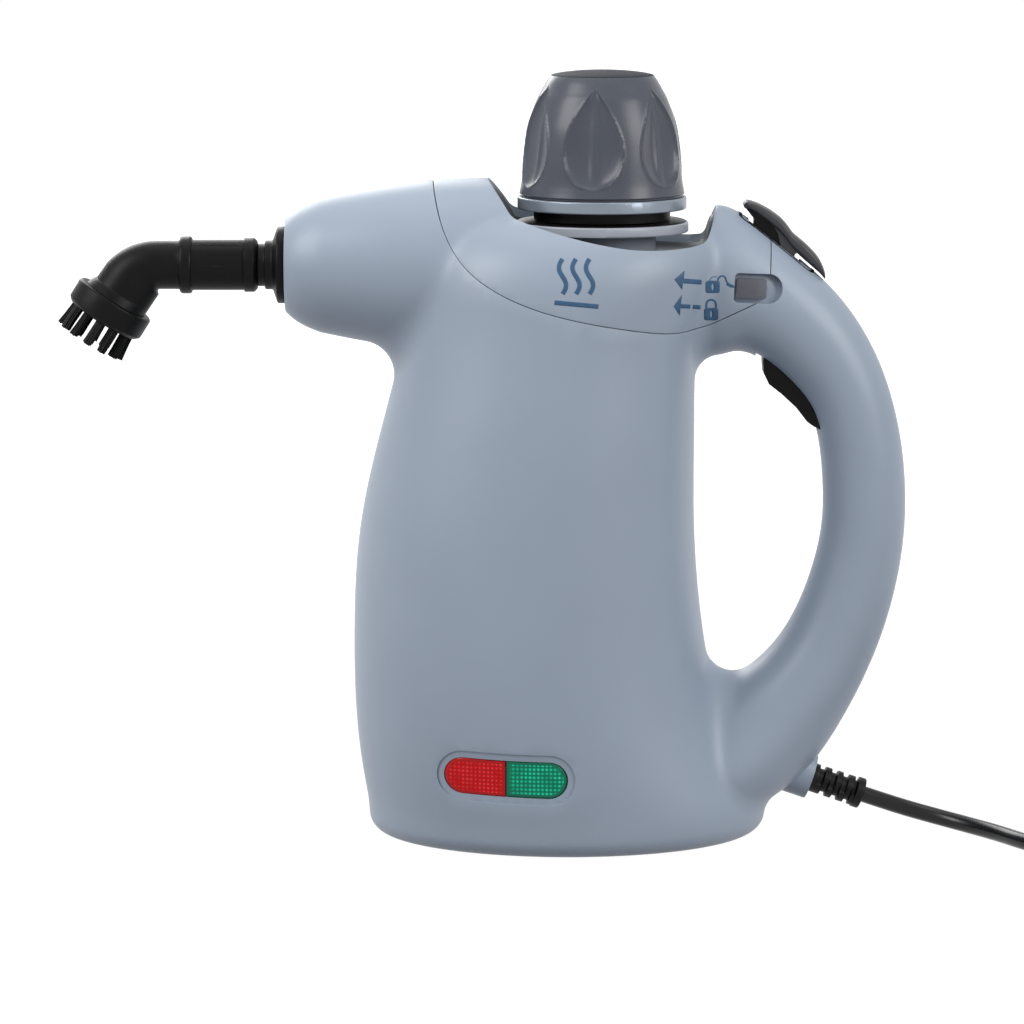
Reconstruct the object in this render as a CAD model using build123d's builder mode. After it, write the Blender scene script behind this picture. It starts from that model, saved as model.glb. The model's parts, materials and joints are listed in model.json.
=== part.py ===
from build123d import *
import math
import os

# A handheld steam cleaner. X runs along the object with the nose towards -X, Y across it with
# the lamps on the -Y side, and Z up from the table. The filler cap's axis is X = 0, Y = 0.
os.makedirs("parts", exist_ok=True)

# Shared clearances and cuts
overrun = 80.0
wall = 2.5
part_gap = 0.3
fit_gap = 0.05

# Housing form: a tall oval body, a round nose and a loop handle
body_height = 222.3
body_length = 146.0
body_width = 116.0
base_round = 7.0
nose_axis_height = 202.3
nose_face_reach = 111.2
nose_radius = 31.0
handle_reach = 107.7
grip_width = 31.0
nose_blend = 12.0
root_blend = 9.0
heel_blend = 10.0
nose_blend_window = ((-0.55, 0.80), (-0.28, 0.96))
root_blend_window = ((0.28, 0.80), (0.40, 0.95))
heel_blend_window = ((0.37, 0.09), (0.60, 0.22))
base_window = ((-0.50, -0.01), (0.50, 0.01))

# Body sections: height, nose side, handle side and half width
body_shares = (
    (0.0, -0.566, 0.394, 0.464),
    (0.092, -0.578, 0.368, 0.479),
    (0.206, -0.597, 0.290, 0.496),
    (0.337, -0.600, 0.246, 0.500),
    (0.495, -0.584, 0.226, 0.491),
    (0.675, -0.523, 0.225, 0.463),
    (0.832, -0.475, 0.250, 0.427),
    (0.940, -0.452, 0.288, 0.379),
    (0.978, -0.406, 0.243, 0.304),
    (1.0, -0.301, 0.137, 0.181),
)
# Nose sections from the face to the back: reach and radius
nose_front_shares = ((1.0, 0.532), (0.968, 0.632), (0.926, 0.714), (0.888, 0.766))
nose_barrel_shares = ((0.888, 0.766), (0.754, 0.861), (0.592, 0.943), (0.404, 0.984), (0.135, 1.0))
# Handle sections from the crown to the base: outer point, inner point and half width
handle_shares = (
    (0.149, 1.006, 0.093, 0.774, 1.22),
    (0.371, 1.004, 0.316, 0.772, 1.22),
    (0.539, 0.962, 0.432, 0.773, 1.17),
    (0.678, 0.907, 0.520, 0.761, 1.10),
    (0.799, 0.847, 0.617, 0.722, 1.05),
    (0.896, 0.771, 0.681, 0.681, 1.01),
    (0.965, 0.675, 0.715, 0.625, 1.0),
    (0.997, 0.576, 0.728, 0.558, 1.0),
    (0.998, 0.486, 0.726, 0.499, 1.0),
    (0.962, 0.376, 0.692, 0.421, 1.02),
    (0.893, 0.274, 0.617, 0.335, 1.11),
    (0.799, 0.181, 0.501, 0.269, 1.29),
    (0.669, 0.092, 0.334, 0.216, 1.61),
    (0.483, 0.025, 0.186, 0.162, 1.94),
)

# Top cover seam and the filler pocket behind it
seam_shares = (
    (-0.560, 1.100),
    (-0.531, 0.998),
    (-0.460, 0.928),
    (-0.331, 0.882),
    (-0.141, 0.849),
    (0.115, 0.823),
    (0.279, 0.815),
    (0.358, 0.824),
)
seam_heel_share = (0.541, 0.866)
seam_ridge_share = (0.567, 1.100)
pocket_radius = 40.0
pocket_floor_radius = 37.0
pocket_floor_height = 203.0
pocket_floor_round = 4.0
tray_wall = 1.6
tray_rim_drop = 3.0

# Filler neck, collar and boiler
neck_radius = 15.0
neck_bore_radius = 12.2
neck_fit_gap = 0.3
neck_top_height = 216.0
neck_flange_radius = 17.0
neck_flange_thickness = 3.0
neck_spigot_depth = 8.0
collar_radius = 30.4
collar_low_height = 214.2
collar_thickness = 3.6
collar_hub_radius = 19.0
collar_round = 0.6
boiler_centre = -19.0
boiler_radius = 40.0
boiler_wall = 2.0
boiler_base_round = 5.0
boiler_base_height = 72.0
boiler_rim_height = 168.0
boiler_flange_radius = 47.0
boiler_screw_circle = 43.6
boiler_flange_thickness = 2.0
boiler_gasket_thickness = 1.5
lid_flange_thickness = 2.5
lid_top_height = 180.0
lid_drum_radius = 40.0
boiler_screw_count = 6
boiler_screw_phase = 30.0
boiler_screw_radius = 1.5
screw_head_ratio = 1.75
screw_head_thickness = 1.8
shelf_thickness = 2.5
shelf_gap = 0.3
lower_shelf_radius = 37.0
upper_shelf_radius = 42.0
shelf_reach = 40.0

# Heater, thermostat and fuse under the boiler
heater_plate_radius = 36.0
heater_plate_thickness = 4.0
heater_ring_radius = 28.0
heater_tube_radius = 3.4
heater_tail_length = 12.0
heater_gap_angle = 24.0
heater_seat_share = 0.85
thermostat_radius = 8.0
thermostat_height = 6.0
fuse_radius = 2.0
fuse_length = 12.0
fuse_offset = 17.0
thermostat_tab_length = 5.0
thermostat_tab_width = 2.0
thermostat_tab_spacing = 8.0

# Steam valve, its stem and the yoke that the trigger pulls
valve_axis_height = 191.0
valve_back = -62.0
valve_length = 24.0
valve_tower_length = 12.0
valve_seat_wall = 7.0
valve_low_height = 19.0
valve_width = 16.0
valve_height = 28.5
valve_chamber_radius = 5.0
valve_end_wall = 2.5
valve_head_length = 3.0
valve_port_radius = 1.8
valve_inlet_reach = -48.0
steam_tube_radius = 3.0
steam_tube_bore = 1.6
steam_tube_inset = 3.0
stem_radius = 2.0
valve_spring_wire = 0.8
valve_spring_radius = 3.4
valve_spring_turns = 5
stem_end_reach = -22.5
yoke_thickness = 2.0
yoke_web = 5.0
yoke_travel_room = 7.0
yoke_neck_gap = 1.5
yoke_lug_back = -31.0
yoke_lug_length = 10.0
yoke_lug_width = 10.0
yoke_lug_height = 8.0
yoke_strip_width = 7.0
yoke_end_length = 7.0
yoke_end_height = 4.0
link_pin_reach = 50.0

# Steam outlet: spigot, nut, seal, elbow and brush
outlet_bore_radius = 2.2
spigot_shank_radius = 8.0
spigot_inner_reach = 98.0
nut_radius = 12.0
nut_thickness = 4.5
disc_radius = 13.5
disc_thickness = 2.8
disc_cone_length = 1.7
step_radius = 8.6
step_length = 2.7
spigot_neck_radius = 7.5
spigot_neck_length = 2.6
spigot_radius = 5.8
spigot_length = 17.0
seal_width = 2.4
seal_depth = 1.6
seal_reach = 130.0
seal_gap = 0.03
socket_radius = 8.85
socket_bore_gap = 0.08
socket_mouth_reach = 121.1
mouth_collar_radius = 9.5
mouth_collar_inner_radius = 7.9
mouth_collar_length = 4.6
mouth_collar_chamfer = 1.1
rear_rib_radius = 10.0
rear_rib_width = 4.2
rear_rib_reach = 144.1
rear_rib_round = 0.8
elbow_start_reach = 148.3
elbow_shares = (
    (0.0, 0.0, 0.0, 8.5),
    (0.34, 0.05, 0.10, 8.55),
    (0.75, 0.34, 0.50, 10.1),
    (1.0, 1.0, 1.0, 11.4),
)
elbow_length = 22.7
elbow_drop = 11.9
elbow_turn = 57.7
elbow_bore_radius = 2.5
brush_radius = 14.4
brush_thickness = 8.6
brush_edge_round = 1.3
brush_top_round = 1.0
brush_spigot_radius = 6.0
brush_spigot_length = 6.0
brush_spigot_gap = 0.05
brush_bore_radius = 2.2
bristle_length = 9.3
bristle_width = 0.42
bristle_pitch = 0.62
bristle_root = 0.5
bristle_pad_radius = 12.6
bristle_pad_thickness = 1.0
outer_tuft_count = 12
inner_tuft_count = 6
outer_tuft_radius = 10.6
inner_tuft_radius = 5.6
outer_splay = 4.0
inner_splay = 1.5

# Filler cap: grip, ring, core, relief valve
cap_ring_radius = 29.7
cap_ring_inner_radius = 24.6
cap_ring_low_height = 222.3
cap_ring_thickness = 4.3
grip_base_radius = 29.0
grip_low_height = 226.8
grip_height = 43.9
grip_shares = (
    (1.0, 0.0),
    (0.969, 0.139),
    (0.941, 0.330),
    (0.903, 0.522),
    (0.855, 0.649),
    (0.783, 0.777),
    (0.731, 0.841),
    (0.672, 0.910),
    (0.586, 0.968),
)
grip_bore_radius = 20.6
grip_bore_height = 23.0
grip_dome_bore_radius = 13.6
grip_roof = 5.0
flute_count = 6
flute_phase = 262.0
flute_radius = 50.0
flute_depth = 3.0
flute_lean = 8.0
flute_middle_height = 245.5
flute_middle_radius = 26.9
core_disc_radius = 24.0
core_disc_thickness = 3.4
core_gap_height = 218.6
core_drum_radius = 20.3
core_drum_top_height = 245.0
core_plug_radius = 12.1
core_plug_length = 14.0
gasket_thickness = 2.4
gasket_inner_radius = 12.4
relief_seat_radius = 3.0
relief_bore_radius = 5.5
relief_floor = 3.0
poppet_radius = 5.3
poppet_hollow_radius = 3.4
poppet_height = 6.0
relief_spring_wire = 0.9
relief_spring_radius = 4.0
relief_spring_turns = 7
relief_screw_height = 6.0
cap_spring_wire = 1.4
cap_spring_radius = 11.0
cap_spring_turns = 4

# Trigger, its pin and the lever on top of the handle
trigger_pivot_reach = 80.5
trigger_pivot_height = 148.0
trigger_boss_radius = 4.0
trigger_width = 12.4
trigger_arm_inner = 8.9
pin_radius = 1.5
shell_boss_radius = 4.0
trigger_shares = (
    (0.526, 0.760),
    (0.529, 0.740),
    (0.546, 0.723),
    (0.586, 0.708),
    (0.635, 0.686),
    (0.672, 0.663),
    (0.695, 0.655),
    (0.722, 0.651),
    (0.750, 0.648),
    (0.786, 0.655),
    (0.784, 0.680),
    (0.735, 0.731),
    (0.620, 0.815),
    (0.505, 0.886),
    (0.423, 0.886),
    (0.423, 0.828),
    (0.480, 0.800),
    (0.530, 0.775),
)
trigger_slot_shares = (
    (0.500, 0.800),
    (0.505, 0.742),
    (0.560, 0.690),
    (0.660, 0.648),
    (0.706, 0.651),
    (0.735, 0.651),
    (0.735, 0.690),
    (0.650, 0.765),
    (0.560, 0.800),
)
trigger_slot_gap = 0.4
trigger_notch_width = 3.8
trigger_notch_low_height = 184.2
trigger_fork_low_height = 178.0
trigger_pin_length = 18.8
lever_pivot_reach = 65.0
lever_pivot_height = 201.5
lever_width = 12.0
lever_leg_width = 8.2
lever_pin_length = 19.6
lever_boss_inner = 13.0
lever_top_shares = (
    (0.4605, 1.0040),
    (0.4754, 1.0126),
    (0.5246, 1.0045),
    (0.5506, 0.9973),
    (0.5822, 0.9856),
    (0.5989, 0.9766),
    (0.6119, 0.9676),
    (0.6230, 0.9600),
    (0.6472, 0.9514),
    (0.6713, 0.9420),
    (0.7001, 0.9280),
    (0.7196, 0.9141),
    (0.7298, 0.9015),
    (0.7289, 0.8907),
    (0.6982, 0.9042),
    (0.6667, 0.9267),
    (0.6240, 0.9442),
    (0.5896, 0.9582),
    (0.5339, 0.9780),
    (0.4921, 0.9924),
)
lever_leg_shares = (
    (0.4990, 0.9970),
    (0.6200, 0.9560),
    (0.6320, 0.9250),
    (0.6370, 0.9065),
    (0.6082, 0.8960),
    (0.6082, 0.8745),
    (0.5350, 0.8745),
    (0.5200, 0.9000),
    (0.4960, 0.9400),
)
lever_spring_wire = 0.6
lever_spring_radius = 1.9
lever_spring_turns = 4
lever_spring_height = 196.7
lever_spring_length = 6.0
lever_spring_offset = 0.5
lever_opening_low_height = 195.0
lever_web_thickness = 2.4
lever_web_low_height = 188.0
bezel_width = 14.4
bezel_thickness = 0.6
bezel_gap = 0.1
bezel_front_reach = 49.0
bezel_back_reach = 73.2
lever_opening_front_reach = 51.4
lever_opening_back_reach = 69.6
lever_opening_width = 10.2

# Lock slider on the lamp side
slot_reach = 54.3
slot_height = 195.6
slot_length = 17.0
slot_width = 10.4
slot_tilt = -3.0
slot_depth = 3.0
slot_backing = 2.0
slot_front_round = 1.6
slot_back_round = 5.0
slider_length = 10.6
slider_width = 6.8
slider_inset = 1.3
slider_lift = 0.2
slider_start_offset = -2.4
slider_travel = 4.0
slider_finger_radius = 1.2
slider_finger_inner = 9.2
slider_corner_round = 0.8
side_inner_depth = 5.0

# Lamps
lamp_centre_reach = -33.7
lamp_height = 29.1
lamp_length = 42.8
lamp_width = 13.0
lamp_tilt = -1.5
lamp_rim = 2.6
lamp_recess = 0.5
lens_gap = 0.1
lens_inset = 0.7
lens_thickness = 3.0
lens_split_gap = 0.2
holder_wall = 1.6
holder_margin = 1.2
holder_front_inset = 3.8
holder_back_depth = 35.0
holder_cavity_depth = 37.5
bulb_spacing = 15.0
bulb_radius = 2.4
bulb_length = 8.0

# Cord entry, strain relief, clamp and terminal block
boss_face_reach = 75.2
boss_face_height = 18.8
boss_slope = 18.8
boss_radius = 8.0
boss_depth = 26.0
relief_bore = 5.0
relief_core_radius = 3.9
relief_length = 19.4
relief_ring_count = 5
relief_ring_share = 0.62
relief_flange_radius = 6.6
relief_flange_thickness = 2.4
relief_flange_inset = 5.0
cord_radius = 2.9
clamp_length = 17.0
clamp_width = 7.0
clamp_thickness = 4.6
clamp_half_gap = 0.4
clamp_distance = 31.5
clamp_screw_spacing = 12.0
clamp_screw_radius = 1.2
clamp_screw_depth = 9.0
clamp_seat_depth = 25.0
lead_end_distance = 38.0
terminal_length = 22.0
terminal_width = 14.0
terminal_height = 12.0
terminal_reach = 6.0
terminal_low_height = 17.0
lead_radius = 0.75
lead_start_spacing = 1.8
lead_end_spacing = 4.0
lead_count = 3

# Screw bosses that join the two shells
screw_boss_radius = 3.6
screw_hole_radius = 1.7
screw_pilot_radius = 1.3
screw_head_depth = 10.0
screw_head_pocket_radius = 3.3
housing_screw_length = 22.0
boss_place_shares = ((-0.613, 0.135), (0.279, 0.215), (-0.780, 0.823), (0.863, 0.53), (0.780, 0.252))

# Free cord, coil and plug
cord_points = (
    (105.87, 0.0, 8.36),
    (119.1, -3.3, 5.2),
    (130.9, -10.7, 3.4),
    (140.5, -22.2, 2.9),
    (148.0, -36.3, 2.9),
    (159.1, -50.5, 2.9),
    (175.7, -61.7, 2.9),
    (195.0, -66.9, 2.9),
    (209.0, -66.9, 2.9),
)
coil_inner_radius = 23.5
coil_pitch = 6.35
coil_layer_rise = 6.3
coil_half_turns = 8
tail_runs = ((180, 19.0, 0.0), (150, 19.0, -2.9), (120, 19.0, -2.7), (90, 19.0, 0.6), (60, 19.0, 3.0),
             (30, 19.0, 3.8), (0, 19.0, 0.0))
bend_share = 0.45
plug_half_width = 18.0
plug_half_height = 11.0
plug_body_length = 30.0
plug_body_round = 3.0
plug_relief_length = 22.0
plug_relief_radius = 5.2
plug_pin_radius = 2.4
plug_pin_length = 19.0
plug_pin_spacing = 19.0
plug_pin_root = 8.0
plug_pin_root_radius = 2.0
plug_relief_flare = 1.6
coil_samples = 900


def half_oval(plane, along, across):
    """The -Y half of an oval face, closed by a straight line on the parting plane."""
    with BuildSketch(plane) as face:
        with BuildLine():
            EllipticalCenterArc((0, 0), along, across, start_angle=180, arc_size=180)
            Line((along, 0), (-along, 0))
        make_face()
    return face.sketch


def body_sections(inset):
    sections = []
    for height_share, nose_share, handle_share, width_share in body_shares:
        low = body_length * nose_share + inset
        high = body_length * handle_share - inset
        height = inset + height_share * (body_height - 2 * inset)
        plane = Plane(origin=((low + high) / 2, 0, height), x_dir=(1, 0, 0), z_dir=(0, 0, 1))
        sections.append(half_oval(plane, (high - low) / 2, body_width * width_share - inset))
    return sections


def nose_sections(shares, inset):
    sections = []
    for reach_share, radius_share in shares:
        reach = nose_face_reach * reach_share
        if reach_share == 1.0 and shares is nose_front_shares:
            reach -= inset
        plane = Plane(origin=(-reach, 0, nose_axis_height), x_dir=(0, 0, -1), z_dir=(1, 0, 0))
        radius = nose_radius * radius_share - inset
        sections.append(half_oval(plane, radius, radius))
    return sections


def handle_sections(inset):
    sections = []
    for outer_reach, outer_height, inner_reach, inner_height, width_share in handle_shares:
        outer = Vector(handle_reach * outer_reach, 0, body_height * outer_height)
        inner = Vector(handle_reach * inner_reach, 0, body_height * inner_height)
        along = (outer - inner).normalized()
        plane = Plane(origin=(outer + inner) * 0.5, x_dir=along, z_dir=along.cross(Vector(0, 1, 0)))
        depth = (outer - inner).length / 2 - inset
        sections.append(half_oval(plane, depth, grip_width / 2 * width_share - inset))
    return sections


def spun(plane, angle):
    """A plane turned about its own normal."""
    turn = math.radians(angle)
    x_dir = plane.x_dir * math.cos(turn) + plane.y_dir * math.sin(turn)
    return Plane(origin=plane.origin, x_dir=x_dir, z_dir=plane.z_dir)


def leaned(plane, angle):
    """A plane whose normal leans towards its own X by an angle."""
    turn = math.radians(angle)
    x_dir = plane.x_dir * math.cos(turn) - plane.z_dir * math.sin(turn)
    z_dir = plane.z_dir * math.cos(turn) + plane.x_dir * math.sin(turn)
    return Plane(origin=plane.origin, x_dir=x_dir, z_dir=z_dir)


def side_prism(face, half_width):
    """A solid with the given XZ face, reaching half_width to each side of the parting plane."""
    with BuildPart() as prism:
        extrude(face, amount=half_width, both=True)
    return prism.part


def side_polygon(points):
    with BuildSketch(Plane.XZ) as face:
        with BuildLine():
            Polyline(*points, close=True)
        make_face()
    return face.sketch


def side_pill(reach, height, length, width, tilt, from_y, to_y):
    """A pill-shaped prism seen from the side, between two values of Y."""
    plane = Plane(origin=(reach, to_y, height), x_dir=(1, 0, 0), z_dir=(0, -1, 0))
    with BuildPart() as pill:
        with BuildSketch(plane):
            SlotOverall(length, width, rotation=tilt)
        extrude(amount=to_y - from_y)
    return pill.part


def cross_cylinder(reach, height, radius, from_y, to_y):
    """A cylinder along Y between two values of Y."""
    plane = Plane(origin=(reach, from_y, height), x_dir=(1, 0, 0), z_dir=(0, 1, 0))
    with BuildPart() as rod:
        with BuildSketch(plane):
            Circle(radius)
        extrude(amount=to_y - from_y)
    return rod.part


def along_cylinder(start, direction, radius, length):
    with BuildPart() as rod:
        with BuildSketch(Plane(origin=start, z_dir=direction)):
            Circle(radius)
        extrude(amount=length)
    return rod.part


def coil_spring(plane, radius, wire, length, turns):
    """A compression spring that starts on the plane and ends length above it."""
    pitch = (length - wire) / turns
    with BuildPart() as spring:
        with BuildLine():
            path = Helix(pitch, length - wire, radius)
        with BuildSketch(Plane(origin=path @ 0, z_dir=path % 0)):
            Circle(wire / 2)
        sweep()
    lift = Plane(origin=plane.origin + plane.z_dir * (wire / 2), x_dir=plane.x_dir, z_dir=plane.z_dir)
    return lift.location * spring.part


def seam_zone(gap):
    """The region of the top cover seen from the side, drawn in by a gap from the seam."""
    points = [(handle_reach * x + (gap if k < 2 else 0), body_height * z + (gap if k > 1 else 0))
              for k, (x, z) in enumerate(seam_shares)]
    heel = (handle_reach * seam_heel_share[0] - gap, body_height * seam_heel_share[1] + gap)
    ridge = (handle_reach * seam_ridge_share[0] - gap, body_height * seam_ridge_share[1])
    with BuildSketch(Plane.XZ) as face:
        with BuildLine():
            curve = Spline(*points)
            Polyline(curve @ 1, heel, ridge, curve @ 0)
        make_face()
    return side_prism(face.sketch, overrun)


def pocket_form(grow, floor_drop):
    """The filler pocket as a solid, larger by grow and with its floor lower by floor_drop."""
    floor = pocket_floor_height - floor_drop
    with BuildPart() as form:
        with BuildSketch(Plane.XZ):
            with BuildLine():
                Polyline(
                    (0, floor),
                    (pocket_floor_radius + grow, floor),
                    (pocket_radius + grow, pocket_floor_height + pocket_floor_round * 2),
                    (pocket_radius + grow, body_height + overrun / 2),
                    (0, body_height + overrun / 2),
                    close=True,
                )
            make_face()
        revolve(axis=Axis.Z)
        fillet(form.edges().sort_by(Axis.Z)[0], pocket_floor_round)
    return form.part


def edges_in_window(part, low_shares, high_shares):
    """Edges off the parting plane whose boxes are centred in a window of the side view."""
    found = []
    for edge in part.edges():
        box = edge.bounding_box()
        reach = box.center().X / handle_reach
        height = box.center().Z / body_height
        if box.min.Y < -wall and low_shares[0] < reach < high_shares[0]:
            if low_shares[1] < height < high_shares[1]:
                found.append(edge)
    return found


def common(part, *tools):
    with BuildPart() as both:
        add(part)
        for tool in tools:
            add(tool, mode=Mode.INTERSECT)
    return both.part


def without(part, *tools):
    with BuildPart() as rest:
        add(part)
        for tool in tools:
            add(tool, mode=Mode.SUBTRACT)
    return rest.part


def lower_half(part):
    """The portion of a part on the -Y side of the parting plane."""
    return part.split(Plane.XZ, keep=Keep.TOP)


# Housing form without its hollow, -Y half
with BuildPart() as housing_form:
    loft(body_sections(0))
    loft(handle_sections(0))
    loft(nose_sections(nose_front_shares, 0))
    loft(nose_sections(nose_barrel_shares, 0))
    fillet(edges_in_window(housing_form.part, nose_blend_window[0], nose_blend_window[1]), nose_blend)
    fillet(edges_in_window(housing_form.part, root_blend_window[0], root_blend_window[1]), root_blend)
    fillet(edges_in_window(housing_form.part, heel_blend_window[0], heel_blend_window[1]), heel_blend)
    fillet(edges_in_window(housing_form.part, base_window[0], base_window[1]), base_round)

# Hollows, each a form drawn in by the wall
with BuildPart() as body_hollow:
    loft(body_sections(wall))
with BuildPart() as handle_hollow:
    loft(handle_sections(wall))
with BuildPart() as nose_front_hollow:
    loft(nose_sections(nose_front_shares, wall))
with BuildPart() as nose_barrel_hollow:
    loft(nose_sections(nose_barrel_shares, wall))
hollows = (body_hollow.part, handle_hollow.part, nose_front_hollow.part, nose_barrel_hollow.part)

# Places shared by several pieces
boss_direction = Vector(math.cos(math.radians(boss_slope)), 0, -math.sin(math.radians(boss_slope)))
boss_face = Vector(boss_face_reach, 0, boss_face_height)
boss_places = [(handle_reach * x, body_height * z) for x, z in boss_place_shares]
lid_base_height = boiler_rim_height + boiler_flange_thickness + boiler_gasket_thickness
cover_zone = seam_zone(0)
pocket = pocket_form(0, 0)


def shelf_ring(height, inner_radius):
    """A shelf round the boiler that ends short of the handle."""
    with BuildPart() as ring:
        with BuildSketch(Plane.XY.offset(height)):
            with Locations((shelf_reach, 0)):
                Rectangle(body_length * 2, body_width * 2, align=(Align.MAX, Align.CENTER))
            with Locations((boiler_centre, 0)):
                Circle(inner_radius, mode=Mode.SUBTRACT)
        extrude(amount=shelf_thickness)
    return ring.part


# Ribs and bosses of one shell before they are cut to the housing
with BuildPart() as shell_ribs:
    for reach, height in boss_places:
        add(cross_cylinder(reach, height, screw_boss_radius, -overrun, 0))
    add(shelf_ring(boiler_base_height - shelf_gap - shelf_thickness, lower_shelf_radius))
    add(shelf_ring(boiler_rim_height - shelf_gap - shelf_thickness, boiler_radius + shelf_gap))
    lid_screw_top = lid_base_height + lid_flange_thickness + screw_head_thickness
    add(shelf_ring(lid_screw_top + shelf_gap, upper_shelf_radius))
    add(cross_cylinder(trigger_pivot_reach, trigger_pivot_height, shell_boss_radius,
                       -overrun, -trigger_width / 2 - part_gap))
    add(cross_cylinder(lever_pivot_reach, lever_pivot_height, shell_boss_radius,
                       -overrun, -lever_boss_inner / 2))
    web_reach = lever_pivot_reach + lever_spring_offset + lever_spring_length
    add(side_prism(side_polygon((
        (web_reach, lever_web_low_height),
        (web_reach + lever_web_thickness, lever_web_low_height),
        (web_reach + lever_web_thickness, body_height),
        (web_reach, body_height),
    )), overrun))
    add(side_prism(side_polygon((
        (terminal_reach - terminal_length / 2, terminal_low_height - part_gap - shelf_thickness),
        (terminal_reach + terminal_length / 2, terminal_low_height - part_gap - shelf_thickness),
        (terminal_reach + terminal_length / 2, terminal_low_height - part_gap),
        (terminal_reach - terminal_length / 2, terminal_low_height - part_gap),
    )), overrun))

lever_opening = side_prism(side_polygon((
    (lever_opening_front_reach, lever_opening_low_height),
    (lever_opening_back_reach, lever_opening_low_height),
    (lever_opening_back_reach, body_height + overrun),
    (lever_opening_front_reach, body_height + overrun),
)), lever_opening_width / 2)

pin_holes = (
    cross_cylinder(trigger_pivot_reach, trigger_pivot_height, pin_radius + fit_gap,
                   -trigger_pin_length / 2 - fit_gap, 0),
    cross_cylinder(lever_pivot_reach, lever_pivot_height, pin_radius + fit_gap,
                   -lever_pin_length / 2 - fit_gap, 0),
)

# One shell before the lamp side's own cuts
with BuildPart() as plain_shell:
    add(housing_form.part)
    for hollow in hollows:
        add(hollow, mode=Mode.SUBTRACT)
    add(cover_zone, mode=Mode.SUBTRACT)
    add(without(common(shell_ribs.part, housing_form.part), cover_zone))
    add(lower_half(along_cylinder(boss_face - boss_direction * boss_depth, boss_direction,
                                  boss_radius, boss_depth)))
    add(pocket_form(wall + part_gap, wall + part_gap), mode=Mode.SUBTRACT)
    # openings on the parting plane
    add(along_cylinder(boss_face - boss_direction * overrun, boss_direction, relief_bore, overrun * 2),
        mode=Mode.SUBTRACT)
    add(along_cylinder(boss_face - boss_direction * (relief_flange_inset + relief_flange_thickness + fit_gap),
                       boss_direction, relief_flange_radius + fit_gap,
                       relief_flange_thickness + 2 * fit_gap), mode=Mode.SUBTRACT)
    add(along_cylinder(Vector(-nose_face_reach - wall, 0, nose_axis_height), Vector(1, 0, 0),
                       spigot_shank_radius + fit_gap, wall * 4), mode=Mode.SUBTRACT)
    add(side_prism(side_polygon([(handle_reach * x, body_height * z) for x, z in trigger_slot_shares]),
                   trigger_width / 2 + trigger_slot_gap), mode=Mode.SUBTRACT)
    add(lever_opening, mode=Mode.SUBTRACT)
    for hole in pin_holes:
        add(hole, mode=Mode.SUBTRACT)
    add(cross_cylinder(trigger_pivot_reach, trigger_pivot_height, trigger_boss_radius + trigger_slot_gap,
                       -trigger_width / 2 - part_gap, 0), mode=Mode.SUBTRACT)


def loft_part(sections):
    with BuildPart() as form:
        loft(sections)
    return form.part


def slot_form(margin):
    """The lock slot as a prism from the lamp side, larger all round by margin."""
    plane = Plane(origin=(slot_reach, -side_inner_depth, slot_height), x_dir=(1, 0, 0), z_dir=(0, -1, 0))
    plane = spun(plane, slot_tilt)
    with BuildPart() as form:
        with BuildSketch(plane) as face:
            Rectangle(slot_length + 2 * margin, slot_width + 2 * margin)
            corners = face.vertices().sort_by(Axis.X)
            fillet(corners[:2], slot_front_round + margin)
            corners = face.vertices().sort_by(Axis.X)
            fillet(corners[-2:], slot_back_round)
        extrude(amount=body_width)
    return form.part


def box_between(low, high):
    """A block between two corners."""
    size = [b - a for a, b in zip(low, high)]
    middle = [(a + b) / 2 for a, b in zip(low, high)]
    with BuildPart() as block:
        with Locations(tuple(middle)):
            Box(*size)
    return block.part


def turned(points, reach=0):
    """A solid of revolution about a vertical axis from (radius, height) points."""
    with BuildPart() as solid:
        with BuildSketch(Plane.XZ):
            with BuildLine():
                Polyline(*points, close=True)
            make_face()
        revolve(axis=Axis.Z)
    return Pos(reach, 0, 0) * solid.part


def turned_along_x(points, height):
    """A solid of revolution about a level axis from (reach, radius) points."""
    with BuildPart() as solid:
        with BuildSketch(Plane.XZ):
            with BuildLine():
                Polyline(*points, close=True)
            make_face()
        revolve(axis=Axis.X)
    return Pos(0, 0, height) * solid.part


# Lock slot and its curved floor, lamp side
slot_small = slot_form(0)
slot_large = slot_form(slot_backing)
with BuildPart() as slot_floor:
    loft(handle_sections(slot_depth))
    add(slot_large, mode=Mode.INTERSECT)
    loft(handle_sections(slot_depth + slot_backing), mode=Mode.SUBTRACT)
    add(side_pill(slot_reach + slider_start_offset + slider_travel / 2, slot_height,
                  slider_travel + slider_finger_radius * 2 + part_gap * 2,
                  slider_finger_radius * 2 + part_gap * 2, slot_tilt, -body_width, -side_inner_depth),
        mode=Mode.SUBTRACT)
with BuildPart() as slot_tie:
    add(common(without(slot_large, slot_small), housing_form.part))
    loft(handle_sections(slot_depth + slot_backing / 2), mode=Mode.SUBTRACT)
    add(cover_zone, mode=Mode.SUBTRACT)

# Lamp window
lamp_hole = side_pill(lamp_centre_reach, lamp_height, lamp_length, lamp_width, lamp_tilt,
                      -body_width, -side_inner_depth)
lamp_hole_open = side_pill(lamp_centre_reach, lamp_height, lamp_length + 2 * lens_gap,
                           lamp_width + 2 * lens_gap, lamp_tilt, -body_width, -side_inner_depth)
lamp_border = side_pill(lamp_centre_reach, lamp_height, lamp_length + 2 * lamp_rim,
                        lamp_width + 2 * lamp_rim, lamp_tilt, -body_width, -side_inner_depth)
lamp_recess_form = without(common(lamp_border, housing_form.part), loft_part(body_sections(lamp_recess)))
slot_recess_form = without(common(slot_small, housing_form.part), loft_part(handle_sections(slot_depth)))

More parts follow.
